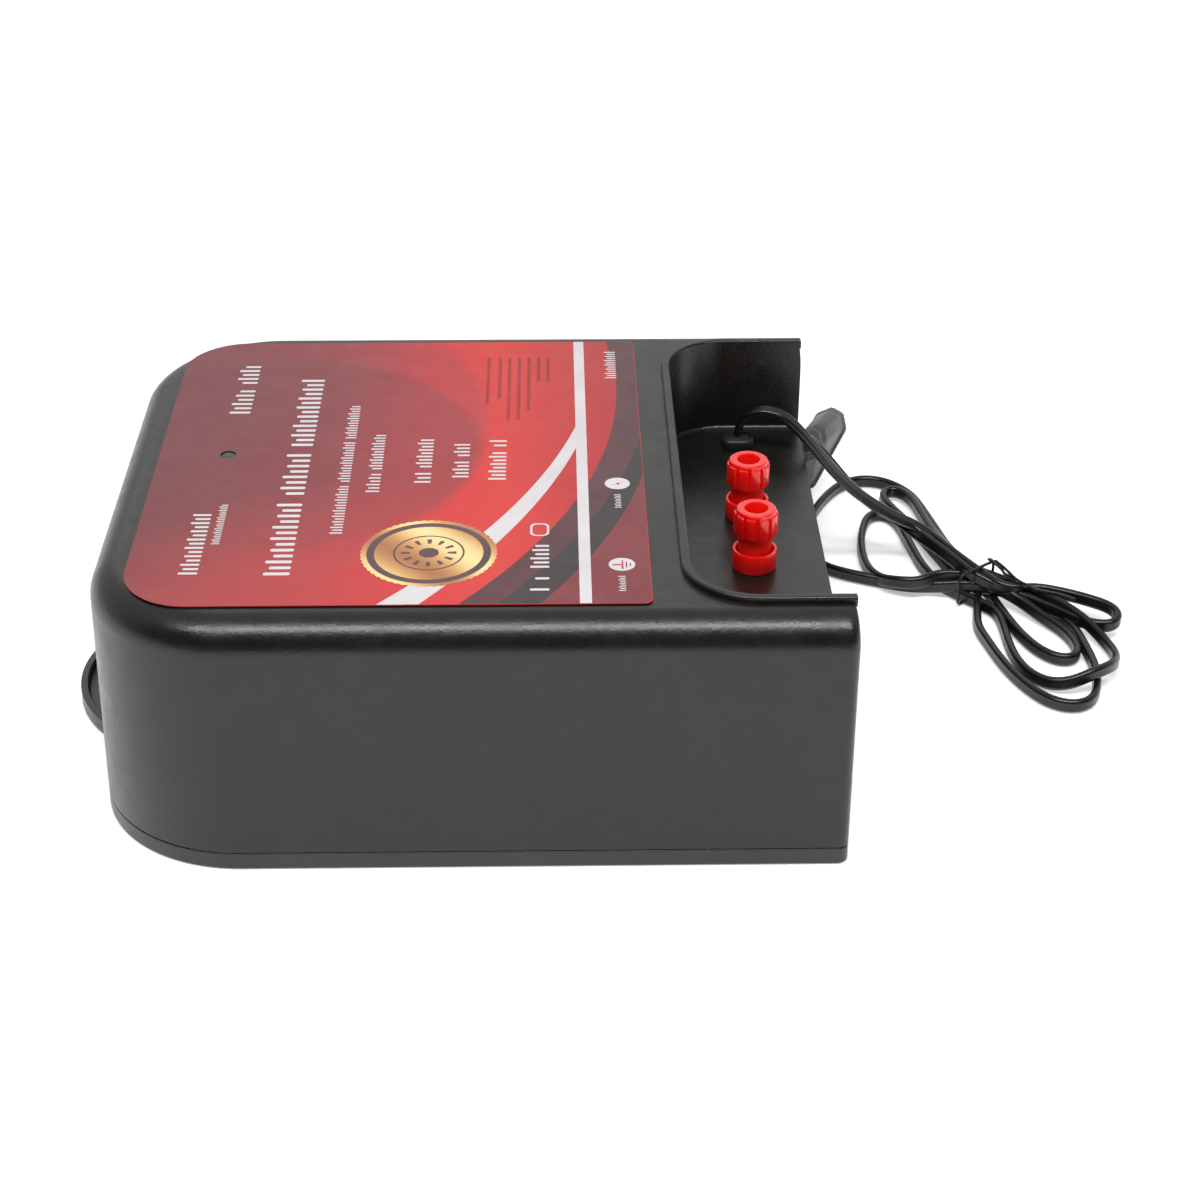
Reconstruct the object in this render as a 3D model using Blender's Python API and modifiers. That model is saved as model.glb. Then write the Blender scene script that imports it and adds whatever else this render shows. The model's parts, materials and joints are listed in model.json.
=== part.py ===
"""Mains electric-fence energizer, modelled piece by piece.

A deep moulded front cover with a terminal recess closes on a flat rear cover with a hanging ear.
The case lies on its back: +Z is away from the wall it would hang on, +X runs towards the terminals.
Lengths are in metres. Places are given from the centre of the case's footprint, on its back face.
"""
import math

import bmesh
import bpy
from mathutils import Matrix, Vector

# Clearances
gap = 0.0003

# Case
case_length = 0.260
case_width = 0.240
case_height = 0.095
wall = 0.003
draft = 0.014
left_round = 0.052
right_round = 0.004
top_round = 0.012
end_round = 0.0015
parting_height = 0.0064
rear_thickness = 0.003
rear_edge = 0.0008
rim_thickness = 0.0015
tongue_length = 0.0017
gasket_width = 0.0024

# Terminal recess in the front cover, open at the right end
recess_length = 0.0544
recess_margin = 0.0181
recess_depth = 0.0363
recess_round = 0.023
lip_width = 0.0032
lip_height = 0.0022

# Hanging ear of the rear cover
ear_radius = 0.054
ear_reach = 0.021
ear_rim = 0.003
keyhole_radius = 0.0042
keyhole_slot = 0.0046
keyhole_travel = 0.006
keyhole_margin = 0.0015

# Label and indicator
label_thickness = 0.0003
label_end_margin = 0.0154
label_side_margin = 0.0148
label_lip_gap = 0.0102
label_left_round = 0.024
label_right_round = 0.003
led_radius = 0.0025
led_end_distance = 0.0404
led_side = 0.0056
led_flange = 0.0012

# Screw terminals
terminal_end_distance = 0.0267
terminal_sides = {"fence": 0.0246, "earth": -0.0148}
collar_radius = 0.0082
collar_height = 0.0077
collar_wall = 0.0012
collar_floor = 0.0015
collar_edge = 0.0003
spigot_radius = 0.0055
stud_radius = 0.0029
stud_tail = 0.013
stud_flange = 0.0012
stud_chamfer = 0.0004
thread_clearance = 0.0004
washer_thickness = 0.001
knob_neck_length = 0.0092
knob_grip_length = 0.0102
knob_radius = 0.0073
knob_rib_reach = 0.0008
knob_rib_width = 0.0031
knob_rib_count = 10
knob_socket_radius = 0.0042
knob_socket_depth = 0.007
knob_edge = 0.0005
knob_rib_top = 0.0014
cup_clearance = 0.0008
nut_across_flats = 0.010
nut_height = 0.005
lug_thickness = 0.001
lug_length = 0.010

# Strain relief in the shelf
relief_end_distance = 0.026
relief_side_distance = 0.0174
relief_head = (0.0123, 0.0100, 0.0042)
relief_stem = (0.0094, 0.0072)
relief_collar = 0.001
relief_tail = 0.0095

# Supply cord, plug and tie
cord_width = 0.0054
cord_lead_in = 0.003
hank_bottom = 0.0017
hank_height = 0.0123
tie_wire = 0.0006
tie_half_width = 0.0108
pin_radius = 0.002
pin_length = 0.019
pin_spacing = 0.019
plug_half_length = 0.020
plug_half_thickness = 0.0075
plug_length = 0.036

# Cover screws
boss_radius = 0.0045
boss_height = 0.042
boss_inset = 0.012
cover_screw_radius = 0.0017
cover_screw_length = 0.020
cover_screw_head = 0.0038
cover_screw_head_height = 0.0024
cover_screw_point = 0.002
pad_radius = 0.006
pad_height = 0.006
web_thickness = 0.0021

# Circuit board and what stands on it
board_thickness = 0.0016
board_level = 0.012
board_left_distance = 0.035
board_length = 0.150
board_far_distance = 0.025
board_width = 0.100
board_screw_inset = 0.006
board_screw_radius = 0.0014
board_screw_length = 0.008
pan_head_height = 0.0018
standoff_radius = 0.0035
pilot_floor = 0.001
capacitor_radius = 0.0175
capacitor_height = 0.050
fuse_cap = 0.0026
fuse_seat = board_level + 0.0045

# Output transformer
core_length = 0.066
core_height = 0.056
core_depth = 0.026
core_leg = 0.022
core_yoke = 0.011
core_left_distance = 0.057
core_near_distance = 0.045
bobbin_wall = 0.001
bracket_thickness = 0.0012
bracket_width = 0.020
foot_length = 0.012
foot_level = 0.009
foot_screw_length = 0.006

# Places that follow from the sizes above
left_end = -case_length / 2
right_end = case_length / 2
recess_left = right_end - recess_length
recess_side = case_width / 2 - recess_margin
shelf_top = case_height - recess_depth
seat = shelf_top + gap
shelf_bottom = shelf_top - wall
board_left = left_end + board_left_distance
board_far = case_width / 2 - board_far_distance
board_top = board_level + board_thickness
on_board = board_top + gap
core_x = left_end + core_left_distance + core_length / 2
core_y = -case_width / 2 + core_near_distance + core_depth / 2
core_bottom = rear_thickness + gap

parts = bpy.data.collections.new("fence_energizer")
cutters = bpy.data.collections.new("cutters")
materials = {}


# ---------------------------------------------------------------- helpers

def clear_scene():
    for item in list(bpy.data.objects):
        bpy.data.objects.remove(item, do_unlink=True)
    bpy.context.scene.collection.children.link(parts)
    bpy.context.scene.collection.children.link(cutters)


def make_material(name, colour, roughness, metallic=0.0):
    made = bpy.data.materials.new(name)
    made.use_nodes = True
    shader = made.node_tree.nodes["Principled BSDF"]
    shader.inputs["Base Color"].default_value = (*colour, 1.0)
    shader.inputs["Roughness"].default_value = roughness
    shader.inputs["Metallic"].default_value = metallic
    made.diffuse_color = (*colour, 1.0)
    materials[name] = made


def place(name, data, material=None):
    """Put a mesh or curve in the parts, or, with no material, among the cutters."""
    piece = bpy.data.objects.new(name, data)
    if material is None:
        cutters.objects.link(piece)
        piece.display_type = "WIRE"
        piece.hide_render = True
    else:
        parts.objects.link(piece)
        data.materials.append(materials[material])
    piece.parent = frame_origin
    return piece


def finish_mesh(name, bm, material=None, smooth=True):
    bmesh.ops.recalc_face_normals(bm, faces=bm.faces)
    mesh = bpy.data.meshes.new(name)
    bm.to_mesh(mesh)
    bm.free()
    if smooth:
        mesh.shade_smooth()
        mesh.set_sharp_from_angle(angle=math.radians(35))
    return place(name, mesh, material)


def as_mesh(curve_piece, material=None):
    """Replace a curve object with a welded mesh of the same shape."""
    bpy.context.view_layer.update()
    graph = bpy.context.evaluated_depsgraph_get()
    mesh = bpy.data.meshes.new_from_object(curve_piece.evaluated_get(graph))
    bm = bmesh.new()
    bm.from_mesh(mesh)
    bmesh.ops.remove_doubles(bm, verts=bm.verts, dist=0.000001)
    bm.to_mesh(mesh)
    bm.free()
    mesh.materials.clear()
    name = curve_piece.name
    world = curve_piece.matrix_world.copy()
    bpy.data.objects.remove(curve_piece, do_unlink=True)
    piece = place(name, mesh, material)
    piece.matrix_world = world
    return piece


def arc(centre, radius, start, end, steps):
    """Points on an arc, angles in degrees, both ends included."""
    angles = [math.radians(start + (end - start) * i / steps) for i in range(steps + 1)]
    return [(centre[0] + radius * math.cos(a), centre[1] + radius * math.sin(a)) for a in angles]


def rounded_outline(x0, x1, y0, y1, left, right, left_steps=8, right_steps=3):
    """Counter-clockwise rectangle whose left and right corners have their own radii."""
    outline = arc((x1 - right, y0 + right), right, -90, 0, right_steps)
    outline += arc((x1 - right, y1 - right), right, 0, 90, right_steps)
    outline += arc((x0 + left, y1 - left), left, 90, 180, left_steps)
    outline += arc((x0 + left, y0 + left), left, 180, 270, left_steps)
    return outline


def case_outline(inset, end_inset=None):
    """The case seen from the front, moved in by inset; the right end can have its own inset."""
    end_inset = inset if end_inset is None else end_inset
    half = case_width / 2 - inset
    corner = max(left_round - inset, 0.001)
    return rounded_outline(left_end + inset, right_end - end_inset, -half, half, corner, right_round)


def ring_at(outline, z):
    return [(x, y, z) for x, y in outline]


def loft(name, rings, material=None, closed=False):
    """Skin a row of rings with the same number of points, and cap the ends or join them."""
    bm = bmesh.new()
    loops = [[bm.verts.new(point) for point in ring] for ring in rings]
    following = loops[1:] + loops[:1] if closed else loops[1:]
    for lower, upper in zip(loops, following):
        for i in range(len(lower)):
            bm.faces.new((lower[i - 1], lower[i], upper[i], upper[i - 1]))
    if not closed:
        bm.faces.new(loops[0][::-1])
        bm.faces.new(loops[-1])
    return finish_mesh(name, bm, material)


def flat_curve(name, outlines, z0, z1, material=None):
    """A plate between two heights, from closed outlines; inner outlines are holes."""
    curve = bpy.data.curves.new(name, "CURVE")
    curve.dimensions = "2D"
    curve.fill_mode = "BOTH"
    curve.extrude = (z1 - z0) / 2
    for outline in outlines:
        spline = curve.splines.new("POLY")
        spline.points.add(len(outline) - 1)
        for point, (x, y) in zip(spline.points, outline):
            point.co = (x, y, 0, 1)
        spline.use_cyclic_u = True
    piece = place(name, curve, material)
    piece.location.z = (z0 + z1) / 2
    return piece


def plate(name, outlines, z0, z1, material=None):
    return as_mesh(flat_curve(name, outlines, z0, z1), material)


def turned(name, profile, place_at, material=None, steps=24, closed=False):
    """A profile of (radius, height) points, top to bottom down the outer side, spun about Z."""
    edges = [(i, i + 1) for i in range(len(profile) - 1)]
    if closed:
        edges.append((len(profile) - 1, 0))
    mesh = bpy.data.meshes.new(name)
    mesh.from_pydata([(r, 0, z) for r, z in profile], edges, [])
    piece = place(name, mesh, material)
    piece.location = place_at
    screw = piece.modifiers.new("Screw", "SCREW")
    screw.steps = steps
    screw.render_steps = steps
    screw.use_merge_vertices = True
    screw.merge_threshold = 0.00001
    screw.use_smooth_shade = True
    return piece


def box(name, low, high, material=None, bevel=0.0):
    """A box between two corners, with its edges bevelled if asked."""
    size = [b - a for a, b in zip(low, high)]
    middle = [(a + b) / 2 for a, b in zip(low, high)]
    bm = bmesh.new()
    bmesh.ops.create_cube(bm, matrix=Matrix.Translation(middle) @ Matrix.Diagonal((*size, 1)))
    if bevel:
        bmesh.ops.bevel(bm, geom=bm.edges[:], offset=bevel, segments=1, affect="EDGES")
    return finish_mesh(name, bm, material, smooth=False)


def cylinders(name, centres, radius, z0, z1, material=None, steps=16):
    """Upright cylinders that share a radius and two heights, in one mesh."""
    bm = bmesh.new()
    for x, y in centres:
        move = Matrix.Translation((x, y, (z0 + z1) / 2))
        bmesh.ops.create_cone(
            bm, cap_ends=True, segments=steps, radius1=radius, radius2=radius, depth=z1 - z0, matrix=move
        )
    return finish_mesh(name, bm, material)


def combine(piece, other, operation):
    change = piece.modifiers.new(f"{operation.title()} {other.name}", "BOOLEAN")
    change.operation = operation
    change.object = other


def cut(piece, cutter):
    combine(piece, cutter, "DIFFERENCE")


def join(piece, other):
    combine(piece, other, "UNION")


def smooth_route(points, spacing, closed=False):
    """Evenly spaced points on a smooth curve through the given ones."""
    guides = [Vector(p) for p in points]
    if closed:
        guides = [guides[-1]] + guides + guides[:2]
    else:
        guides = [guides[0] * 2 - guides[1]] + guides + [guides[-1] * 2 - guides[-2]]
    fine = []
    for a, b, c, d in zip(guides, guides[1:], guides[2:], guides[3:]):
        for step in range(20):
            t = step / 20
            fine.append(0.5 * (2 * b + (c - a) * t + (2 * a - 5 * b + 4 * c - d) * t**2
                               + (3 * b - a - 3 * c + d) * t**3))
    fine.append(guides[-2])
    length = sum((q - p).length for p, q in zip(fine, fine[1:]))
    count = max(2, round(length / spacing))
    route = [fine[0]]
    walked = 0.0
    for p, q in zip(fine, fine[1:]):
        walked += (q - p).length
        while walked >= len(route) * length / count and len(route) < count:
            route.append(q)
    return route if closed else route + [fine[-1]]


def tube(name, route, radius, material, resolution=2, cyclic=False):
    """A round tube with filled ends along the route."""
    curve = bpy.data.curves.new(name, "CURVE")
    curve.dimensions = "3D"
    curve.bevel_depth = radius
    curve.bevel_resolution = resolution
    curve.use_fill_caps = not cyclic
    spline = curve.splines.new("POLY")
    spline.points.add(len(route) - 1)
    for point, (x, y, z) in zip(spline.points, route):
        point.co = (x, y, z, 1)
    spline.use_cyclic_u = cyclic
    return place(name, curve, material)


def lead(name, points, radius, material):
    """A thin wire along a smooth route, straight at both ends so that they meet their seats squarely."""
    route = [points[0]] + smooth_route(points[1:-1], radius * 6) + [points[-1]]
    return tube(name, route, radius, material, resolution=1)


def millimetres(*points):
    return [tuple(value / 1000 for value in point) for point in points]


# ---------------------------------------------------------------- case

def corner_place(x_side, y_side, inset):
    """A point inside a corner of the case, the same distance from the wall at every corner."""
    if x_side > 0:
        return right_end - inset, y_side * (case_width / 2 - inset)
    reach = (left_round - inset) * math.cos(math.radians(45))
    return left_end + left_round - reach, y_side * (case_width / 2 - left_round + reach)


def cover_screw_places():
    places = [corner_place(x_side, y_side, boss_inset) for x_side in (-1, 1) for y_side in (-1, 1)]
    middle = (left_end + left_round + right_end - recess_length) / 2
    places += [(middle, y_side * (case_width / 2 - boss_inset)) for y_side in (-1, 1)]
    return places


def cover_rings(inset, z_bottom, z_top, rounding, end_rounding, steps):
    """Rings of the drafted cover from its open edge to its rounded top."""
    rings = [ring_at(case_outline(inset + draft * max(z_bottom, 0), inset), z_bottom)]
    for step in range(steps + 1):
        angle = math.radians(90 * step / steps)
        z = z_top - rounding + rounding * math.sin(angle)
        side = inset + draft * z + rounding * (1 - math.cos(angle))
        rings.append(ring_at(case_outline(side, inset + end_rounding * (1 - math.cos(angle))), z))
    return rings


def recess_outline(grow, x_end):
    side = recess_side + grow
    return rounded_outline(recess_left - grow, x_end, -side, side, recess_round + grow, 0.0005, 8, 1)


def screw_webs(name, z0, z1):
    """Ribs that tie each screw boss to the nearest outer wall."""
    bm = bmesh.new()
    for x, y in cover_screw_places():
        outwards = 135 if x < left_end + left_round else 90
        turn = math.radians(math.copysign(outwards, y))
        middle = Vector((x, y)) + Vector((math.cos(turn), math.sin(turn))) * (boss_inset - wall / 2) / 2
        size = Matrix.Diagonal((boss_inset - wall / 2, web_thickness, z1 - z0, 1))
        move = Matrix.Translation((*middle, (z0 + z1) / 2)) @ Matrix.Rotation(turn, 4, "Z")
        bmesh.ops.create_cube(bm, matrix=move @ size)
    return finish_mesh(name, bm, smooth=False)


def front_cover():
    bottom = parting_height + gap - tongue_length
    cover = loft("front_cover", cover_rings(0, bottom, case_height, top_round, end_round, 6), "charcoal_abs")
    lip_outline = rounded_outline(
        recess_left - lip_width, right_end - gap, -recess_side - lip_width, recess_side + lip_width,
        recess_round + lip_width, 0.0006, 8, 1,
    )
    join(cover, plate("recess_lip", [lip_outline], case_height - wall / 2, case_height + lip_height))
    cut(cover, plate("recess", [recess_outline(0, right_end + wall)], shelf_top, case_height + wall))
    hollow = loft("hollow", cover_rings(wall, -wall, case_height - wall, top_round - wall, end_round, 4))
    below_shelf = plate("recess_walls", [recess_outline(wall, right_end + wall)], shelf_bottom, case_height)
    cut(hollow, below_shelf)
    cut(cover, hollow)
    outside = case_outline(-0.01)
    rebate = case_outline(rim_thickness + gap)
    cut(cover, plate("tongue_rebate", [outside, rebate], 0, parting_height + gap))
    post_bottom = pad_height + gap
    join(cover, cylinders("boss_posts", cover_screw_places(), boss_radius, post_bottom, boss_height))
    join(cover, screw_webs("boss_webs", parting_height + 3 * gap, boss_height - wall))
    pilot = cylinders(
        "boss_pilots", cover_screw_places(), cover_screw_radius + gap, 0, cover_screw_length + wall, steps=12
    )
    cut(cover, pilot)
    terminals = [terminal_place(side) for side in terminal_sides.values()]
    below = shelf_bottom - wall
    cut(cover, cylinders("terminal_holes", terminals, spigot_radius + gap, below, seat + wall, steps=24))
    stem = [size / 2 + gap for size in relief_stem]
    x, y = relief_place()
    slot = rounded_outline(x - stem[0], x + stem[0], y - stem[1], y + stem[1], 0.002, 0.002, 3, 3)
    cut(cover, plate("relief_slot", [slot], below, seat + wall))
    led_bottom = case_height - 2 * wall
    cut(cover, cylinders("led_hole", [led_place()], led_radius + gap, led_bottom, case_height + wall))
    return cover


def rear_outline(inset):
    """The rear cover seen from the front: the case outline with the ear's arc on its left end."""
    outline = case_outline(inset)
    centre = (left_end - ear_reach + ear_radius, 0)
    reach = ear_radius - inset
    half_angle = math.degrees(math.acos((centre[0] - left_end - inset) / reach))
    ear = arc(centre, reach, 180 - half_angle, 180 + half_angle, 16)
    straight_start = 2 * (3 + 1) + (8 + 1)
    return outline[:straight_start] + ear + outline[straight_start:]


def rear_cover():
    rings = [
        ring_at(rear_outline(rear_edge), 0),
        ring_at(rear_outline(0), rear_edge),
        ring_at(rear_outline(draft * parting_height), parting_height),
    ]
    cover = loft("rear_cover", rings, "charcoal_abs")
    above = parting_height + wall
    tray = case_outline(rim_thickness + draft * parting_height)
    cut(cover, plate("rear_tray", [tray], rear_thickness, above))
    centre = (left_end - ear_reach + ear_radius, 0)
    reach = ear_radius - ear_rim
    half_angle = math.degrees(math.acos((centre[0] - left_end + rim_thickness) / reach))
    dish = arc(centre, reach, 180 - half_angle, 180 + half_angle, 16)
    cut(cover, plate("ear_dish", [dish], rear_thickness, above))
    places = cover_screw_places()
    join(cover, cylinders("screw_pads", places, pad_radius, rear_thickness / 2, pad_height))
    stands = board_screw_places()
    join(cover, cylinders("board_standoffs", stands, standoff_radius, rear_thickness / 2, board_level - gap))
    feet = transformer_screw_places()
    join(cover, cylinders("foot_bosses", feet, standoff_radius, rear_thickness / 2, foot_level))
    shank = cover_screw_radius + gap
    cut(cover, cylinders("cover_screw_holes", places, shank, -wall, pad_height + wall, steps=12))
    cut(cover, cylinders("counterbores", places, cover_screw_head + gap, -wall, rear_thickness + gap))
    pilot = board_screw_radius + gap
    pilot_bottom = rear_thickness + pilot_floor
    cut(cover, cylinders("standoff_holes", stands, pilot, pilot_bottom, board_level + wall, steps=10))
    cut(cover, cylinders("foot_holes", feet, pilot, pilot_bottom, foot_level + wall, steps=10))
    cut(cover, plate("keyhole", [keyhole_outline()], -wall, above))
    return cover


def keyhole_outline():
    """A round opening with a narrower slot that runs out towards the ear's tip."""
    x = keyhole_place()
    slot = keyhole_slot / 2
    join_angle = math.degrees(math.asin(slot / keyhole_radius))
    outline = arc((x, 0), keyhole_radius, -180 + join_angle, 180 - join_angle, 18)
    outline += arc((x - keyhole_travel, 0), slot, 90, 270, 8)
    return outline


def keyhole_place():
    return left_end - rim_thickness - keyhole_radius - keyhole_margin


def cover_gasket():
    inner = rim_thickness + draft * parting_height + gap
    outlines = [case_outline(inner), case_outline(inner + gasket_width)]
    top = parting_height - tongue_length
    flat_curve("cover_gasket", outlines, rear_thickness + gap, top, "black_foam")


def cover_screws():
    """Countersunk in the back: a cylindrical head, a shank and a blunt point."""
    tip = gap + cover_screw_length
    head_top = gap + cover_screw_head_height
    profile = [
        (0, tip), (cover_screw_radius / 2, tip), (cover_screw_radius, tip - cover_screw_point),
        (cover_screw_radius, head_top), (cover_screw_head, head_top), (cover_screw_head, gap), (0, gap),
    ]
    for number, (x, y) in enumerate(cover_screw_places(), 1):
        turned(f"cover_screw_{number}", profile, (x, y, 0), "zinc_steel", steps=12)


# ---------------------------------------------------------------- label and indicator

def led_place():
    return left_end + led_end_distance, led_side


def front_label():
    side = case_width / 2 - label_side_margin
    right = recess_left - lip_width - label_lip_gap
    outline = rounded_outline(
        left_end + label_end_margin, right, -side, side, label_left_round, label_right_round, 8, 3
    )
    window = arc(led_place(), led_radius + gap, 0, 337.5, 15)
    bottom = case_height + gap
    flat_curve("front_label", [outline, window], bottom, bottom + label_thickness, "label_red")


def status_led():
    """A domed lens in the cover, held by a flange under it."""
    dome_height = led_radius * 0.6
    rim = label_thickness / 2 - dome_height
    turns = [math.radians(angle) for angle in (0, 30, 60, 90)]
    profile = [(led_radius * math.sin(turn), rim + dome_height * math.cos(turn)) for turn in turns]
    flange = led_radius + 2 * gap
    under = -wall - gap
    profile += [(led_radius, under), (flange, under), (flange, under - led_flange), (0, under - led_flange)]
    turned("status_led", profile, (*led_place(), case_height), "led_grey", steps=16)


def led_lead():
    x, y = led_place()
    top = case_height - wall - led_flange - 2 * gap
    bend = 0.004
    points = [
        (x, y, top), (x, y, top - 0.01), (x + bend, y + bend / 2, (top + on_board) / 2),
        (x + bend, y + bend, on_board + 0.01), (x + bend, y + bend, on_board + gap),
    ]
    lead("led_lead", points, 0.001, "red_wire")


# ---------------------------------------------------------------- terminals

def terminal_place(side):
    return right_end - terminal_end_distance, side


def terminal_base(name, x, y):
    """A red cup whose spigot insulates the stud where it goes through the shelf."""
    bore = stud_radius + thread_clearance
    inner = collar_radius - collar_wall
    edge = collar_radius - collar_edge
    profile = [
        (inner, collar_height), (edge, collar_height), (collar_radius, collar_height - collar_edge),
        (collar_radius, 0), (spigot_radius, 0), (spigot_radius, -wall + gap), (bore, -wall + gap),
        (bore, collar_floor), (inner, collar_floor),
    ]
    turned(name, profile, (x, y, seat), "terminal_red", steps=32, closed=True)


def terminal_levels():
    """Heights above the shelf seat of what is stacked on the stud."""
    flange_bottom = collar_floor + gap
    washer_bottom = flange_bottom + stud_flange + gap
    knob_bottom = washer_bottom + washer_thickness + gap
    return flange_bottom, washer_bottom, knob_bottom


def terminal_stud(name, x, y):
    flange_bottom, washer_bottom, knob_bottom = terminal_levels()
    flange_top = flange_bottom + stud_flange
    top = knob_bottom + knob_neck_length + knob_grip_length - knob_socket_depth - 3 * gap
    profile = [
        (0, top), (stud_radius - stud_chamfer, top), (stud_radius, top - stud_chamfer),
        (stud_radius, flange_top), (spigot_radius, flange_top), (spigot_radius, flange_bottom),
        (stud_radius, flange_bottom), (stud_radius, -stud_tail), (0, -stud_tail),
    ]
    turned(name, profile, (x, y, seat), "brass", steps=20)


def clamp_washer(name, x, y):
    bottom = terminal_levels()[1]
    outer = collar_radius - collar_wall - cup_clearance
    inner = stud_radius + gap
    top = bottom + washer_thickness
    profile = [(inner, top), (outer, top), (outer, bottom), (inner, bottom)]
    turned(name, profile, (x, y, seat), "zinc_steel", steps=24, closed=True)


def knob_ribs(name, z0, z1):
    """The grip ribs, set round the knob's axis."""
    bm = bmesh.new()
    root = knob_radius * 0.85
    reach = knob_radius + knob_rib_reach
    for number in range(knob_rib_count):
        turn = Matrix.Rotation(math.tau * number / knob_rib_count, 4, "Z")
        move = Matrix.Translation(((root + reach) / 2, 0, (z0 + z1) / 2))
        size = Matrix.Diagonal((reach - root, knob_rib_width, z1 - z0, 1))
        bmesh.ops.create_cube(bm, matrix=turn @ move @ size)
    return finish_mesh(name, bm, smooth=False)


def knob(name, x, y):
    """A ribbed insulating nut: its neck reaches down into the cup, its top has a round socket."""
    bottom = terminal_levels()[2]
    grip = bottom + knob_neck_length
    top = grip + knob_grip_length
    neck = collar_radius - collar_wall - cup_clearance
    bore = stud_radius + thread_clearance
    profile = [
        (knob_socket_radius, top), (knob_radius - knob_edge, top), (knob_radius, top - knob_edge),
        (knob_radius, grip), (neck, grip), (neck, bottom), (bore, bottom), (bore, top - knob_socket_depth),
        (knob_socket_radius, top - knob_socket_depth),
    ]
    piece = turned(name, profile, (x, y, seat), "terminal_red", steps=30, closed=True)
    ribs = knob_ribs(f"{name}_ribs", grip + gap, top - knob_rib_top)
    ribs.location = (x, y, seat)
    join(piece, ribs)
    return piece


def hexagon(x, y, across_flats):
    return arc((x, y), across_flats / 2 / math.cos(math.radians(30)), 0, 300, 5)


def terminal_nut(name, x, y):
    top = shelf_bottom - gap - lug_thickness - gap
    bore = arc((x, y), stud_radius + gap, 0, 345, 23)
    flat_curve(name, [hexagon(x, y, nut_across_flats), bore], top - nut_height, top, "brass")


def terminal_lug(name, x, y):
    """A ring tongue under the shelf, its tail towards the transformer."""
    ring = spigot_radius + gap
    tail = spigot_radius * 0.4
    angle = math.degrees(math.asin(tail / ring))
    outline = arc((x, y), ring, -180 + angle, 180 - angle, 20)
    outline += [(x - lug_tail(), y + tail), (x - lug_tail(), y - tail)]
    bore = arc((x, y), stud_radius + gap, 0, 345, 23)
    top = shelf_bottom - gap
    flat_curve(name, [outline, bore], top - lug_thickness, top, "tinned_copper")


def lug_tail():
    return spigot_radius + lug_length


def terminals():
    for side, y in terminal_sides.items():
        x = terminal_place(y)[0]
        terminal_base(f"{side}_terminal_base", x, y)
        terminal_stud(f"{side}_terminal_stud", x, y)
        clamp_washer(f"{side}_clamp_washer", x, y)
        knob(f"{side}_knob", x, y)
        terminal_nut(f"{side}_terminal_nut", x, y)
        terminal_lug(f"{side}_terminal_lug", x, y)


# ---------------------------------------------------------------- supply cord

def relief_place():
    return right_end - relief_end_distance, recess_side - relief_side_distance


def relief_ring(length, depth, z):
    x, y = relief_place()
    corner = min(length, depth) * 0.3
    x0, x1 = x - length / 2, x + length / 2
    y0, y1 = y - depth / 2, y + depth / 2
    return ring_at(rounded_outline(x0, x1, y0, y1, corner, corner, 4, 4), z)


def relief_bottom():
    return shelf_bottom - relief_tail


def strain_relief():
    """A bushing with a flat head on the shelf, a snap shoulder under it and a tapering tail."""
    length, depth, height = relief_head
    stem_length, stem_depth = relief_stem
    under = shelf_bottom - gap
    sections = [
        (cord_width + 0.0012, cord_width - 0.0006, relief_bottom()),
        (stem_length + relief_collar, stem_depth + relief_collar, under - 2 * relief_collar),
        (stem_length + relief_collar, stem_depth + relief_collar, under),
        (stem_length, stem_depth, under), (stem_length, stem_depth, seat),
        (length, depth, seat), (length, depth, seat + height - relief_collar),
        (length - 2 * relief_collar, depth - 2 * relief_collar, seat + height),
        (cord_width + 0.0024, cord_width + 0.0002, seat + height),
        (cord_width + 0.0014, cord_width - 0.0008, seat + height + relief_collar),
    ]
    loft("strain_relief", [relief_ring(*section) for section in sections], "black_rubber")


def cord_start():
    x, y = relief_place()
    return x, y, seat + relief_head[2] + relief_collar + gap


def power_cord_lead():
    """From the strain relief up, over the shelf's edge and down onto the hank."""
    x, y, z = cord_start()
    route = [(x, y, z + cord_lead_in)] + millimetres(
        (104.4, 84.2, 69.5), (106.2, 83.0, 72.3), (109.8, 81.3, 75.6), (114.6, 79.7, 76.9),
        (120.0, 78.6, 75.6), (125.5, 78.0, 71.3), (131.0, 78.2, 65.0), (137.0, 79.2, 57.0),
        (144.5, 81.5, 47.0), (153.0, 84.5, 37.5), (162.0, 87.5, 29.5), (171.0, 89.8, 22.8),
        (181.0, 91.0, 17.2),
    )
    route = [(x, y, z)] + smooth_route(route, 2.2 * cord_width)
    tube("power_cord_lead", route, cord_width / 2, "cord_black")


def power_cord_tail():
    """From the back of the plug up and over onto the hank, beside the lead."""
    start = plug_point(0, 0, -plug_length - gap)
    route = [tuple(plug_point(0, 0, -plug_length - gap - cord_lead_in))] + millimetres(
        (137.3, 123.2, 41.7), (138.0, 118.5, 43.0), (140.3, 112.0, 42.6), (144.2, 106.0, 39.8),
        (149.5, 101.2, 35.2), (156.0, 98.2, 29.6), (164.0, 97.0, 23.4), (173.5, 97.0, 17.2),
    )
    route = [tuple(start)] + smooth_route(route, 2.2 * cord_width)
    tube("power_cord_tail", route, cord_width / 2, "cord_black")


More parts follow.
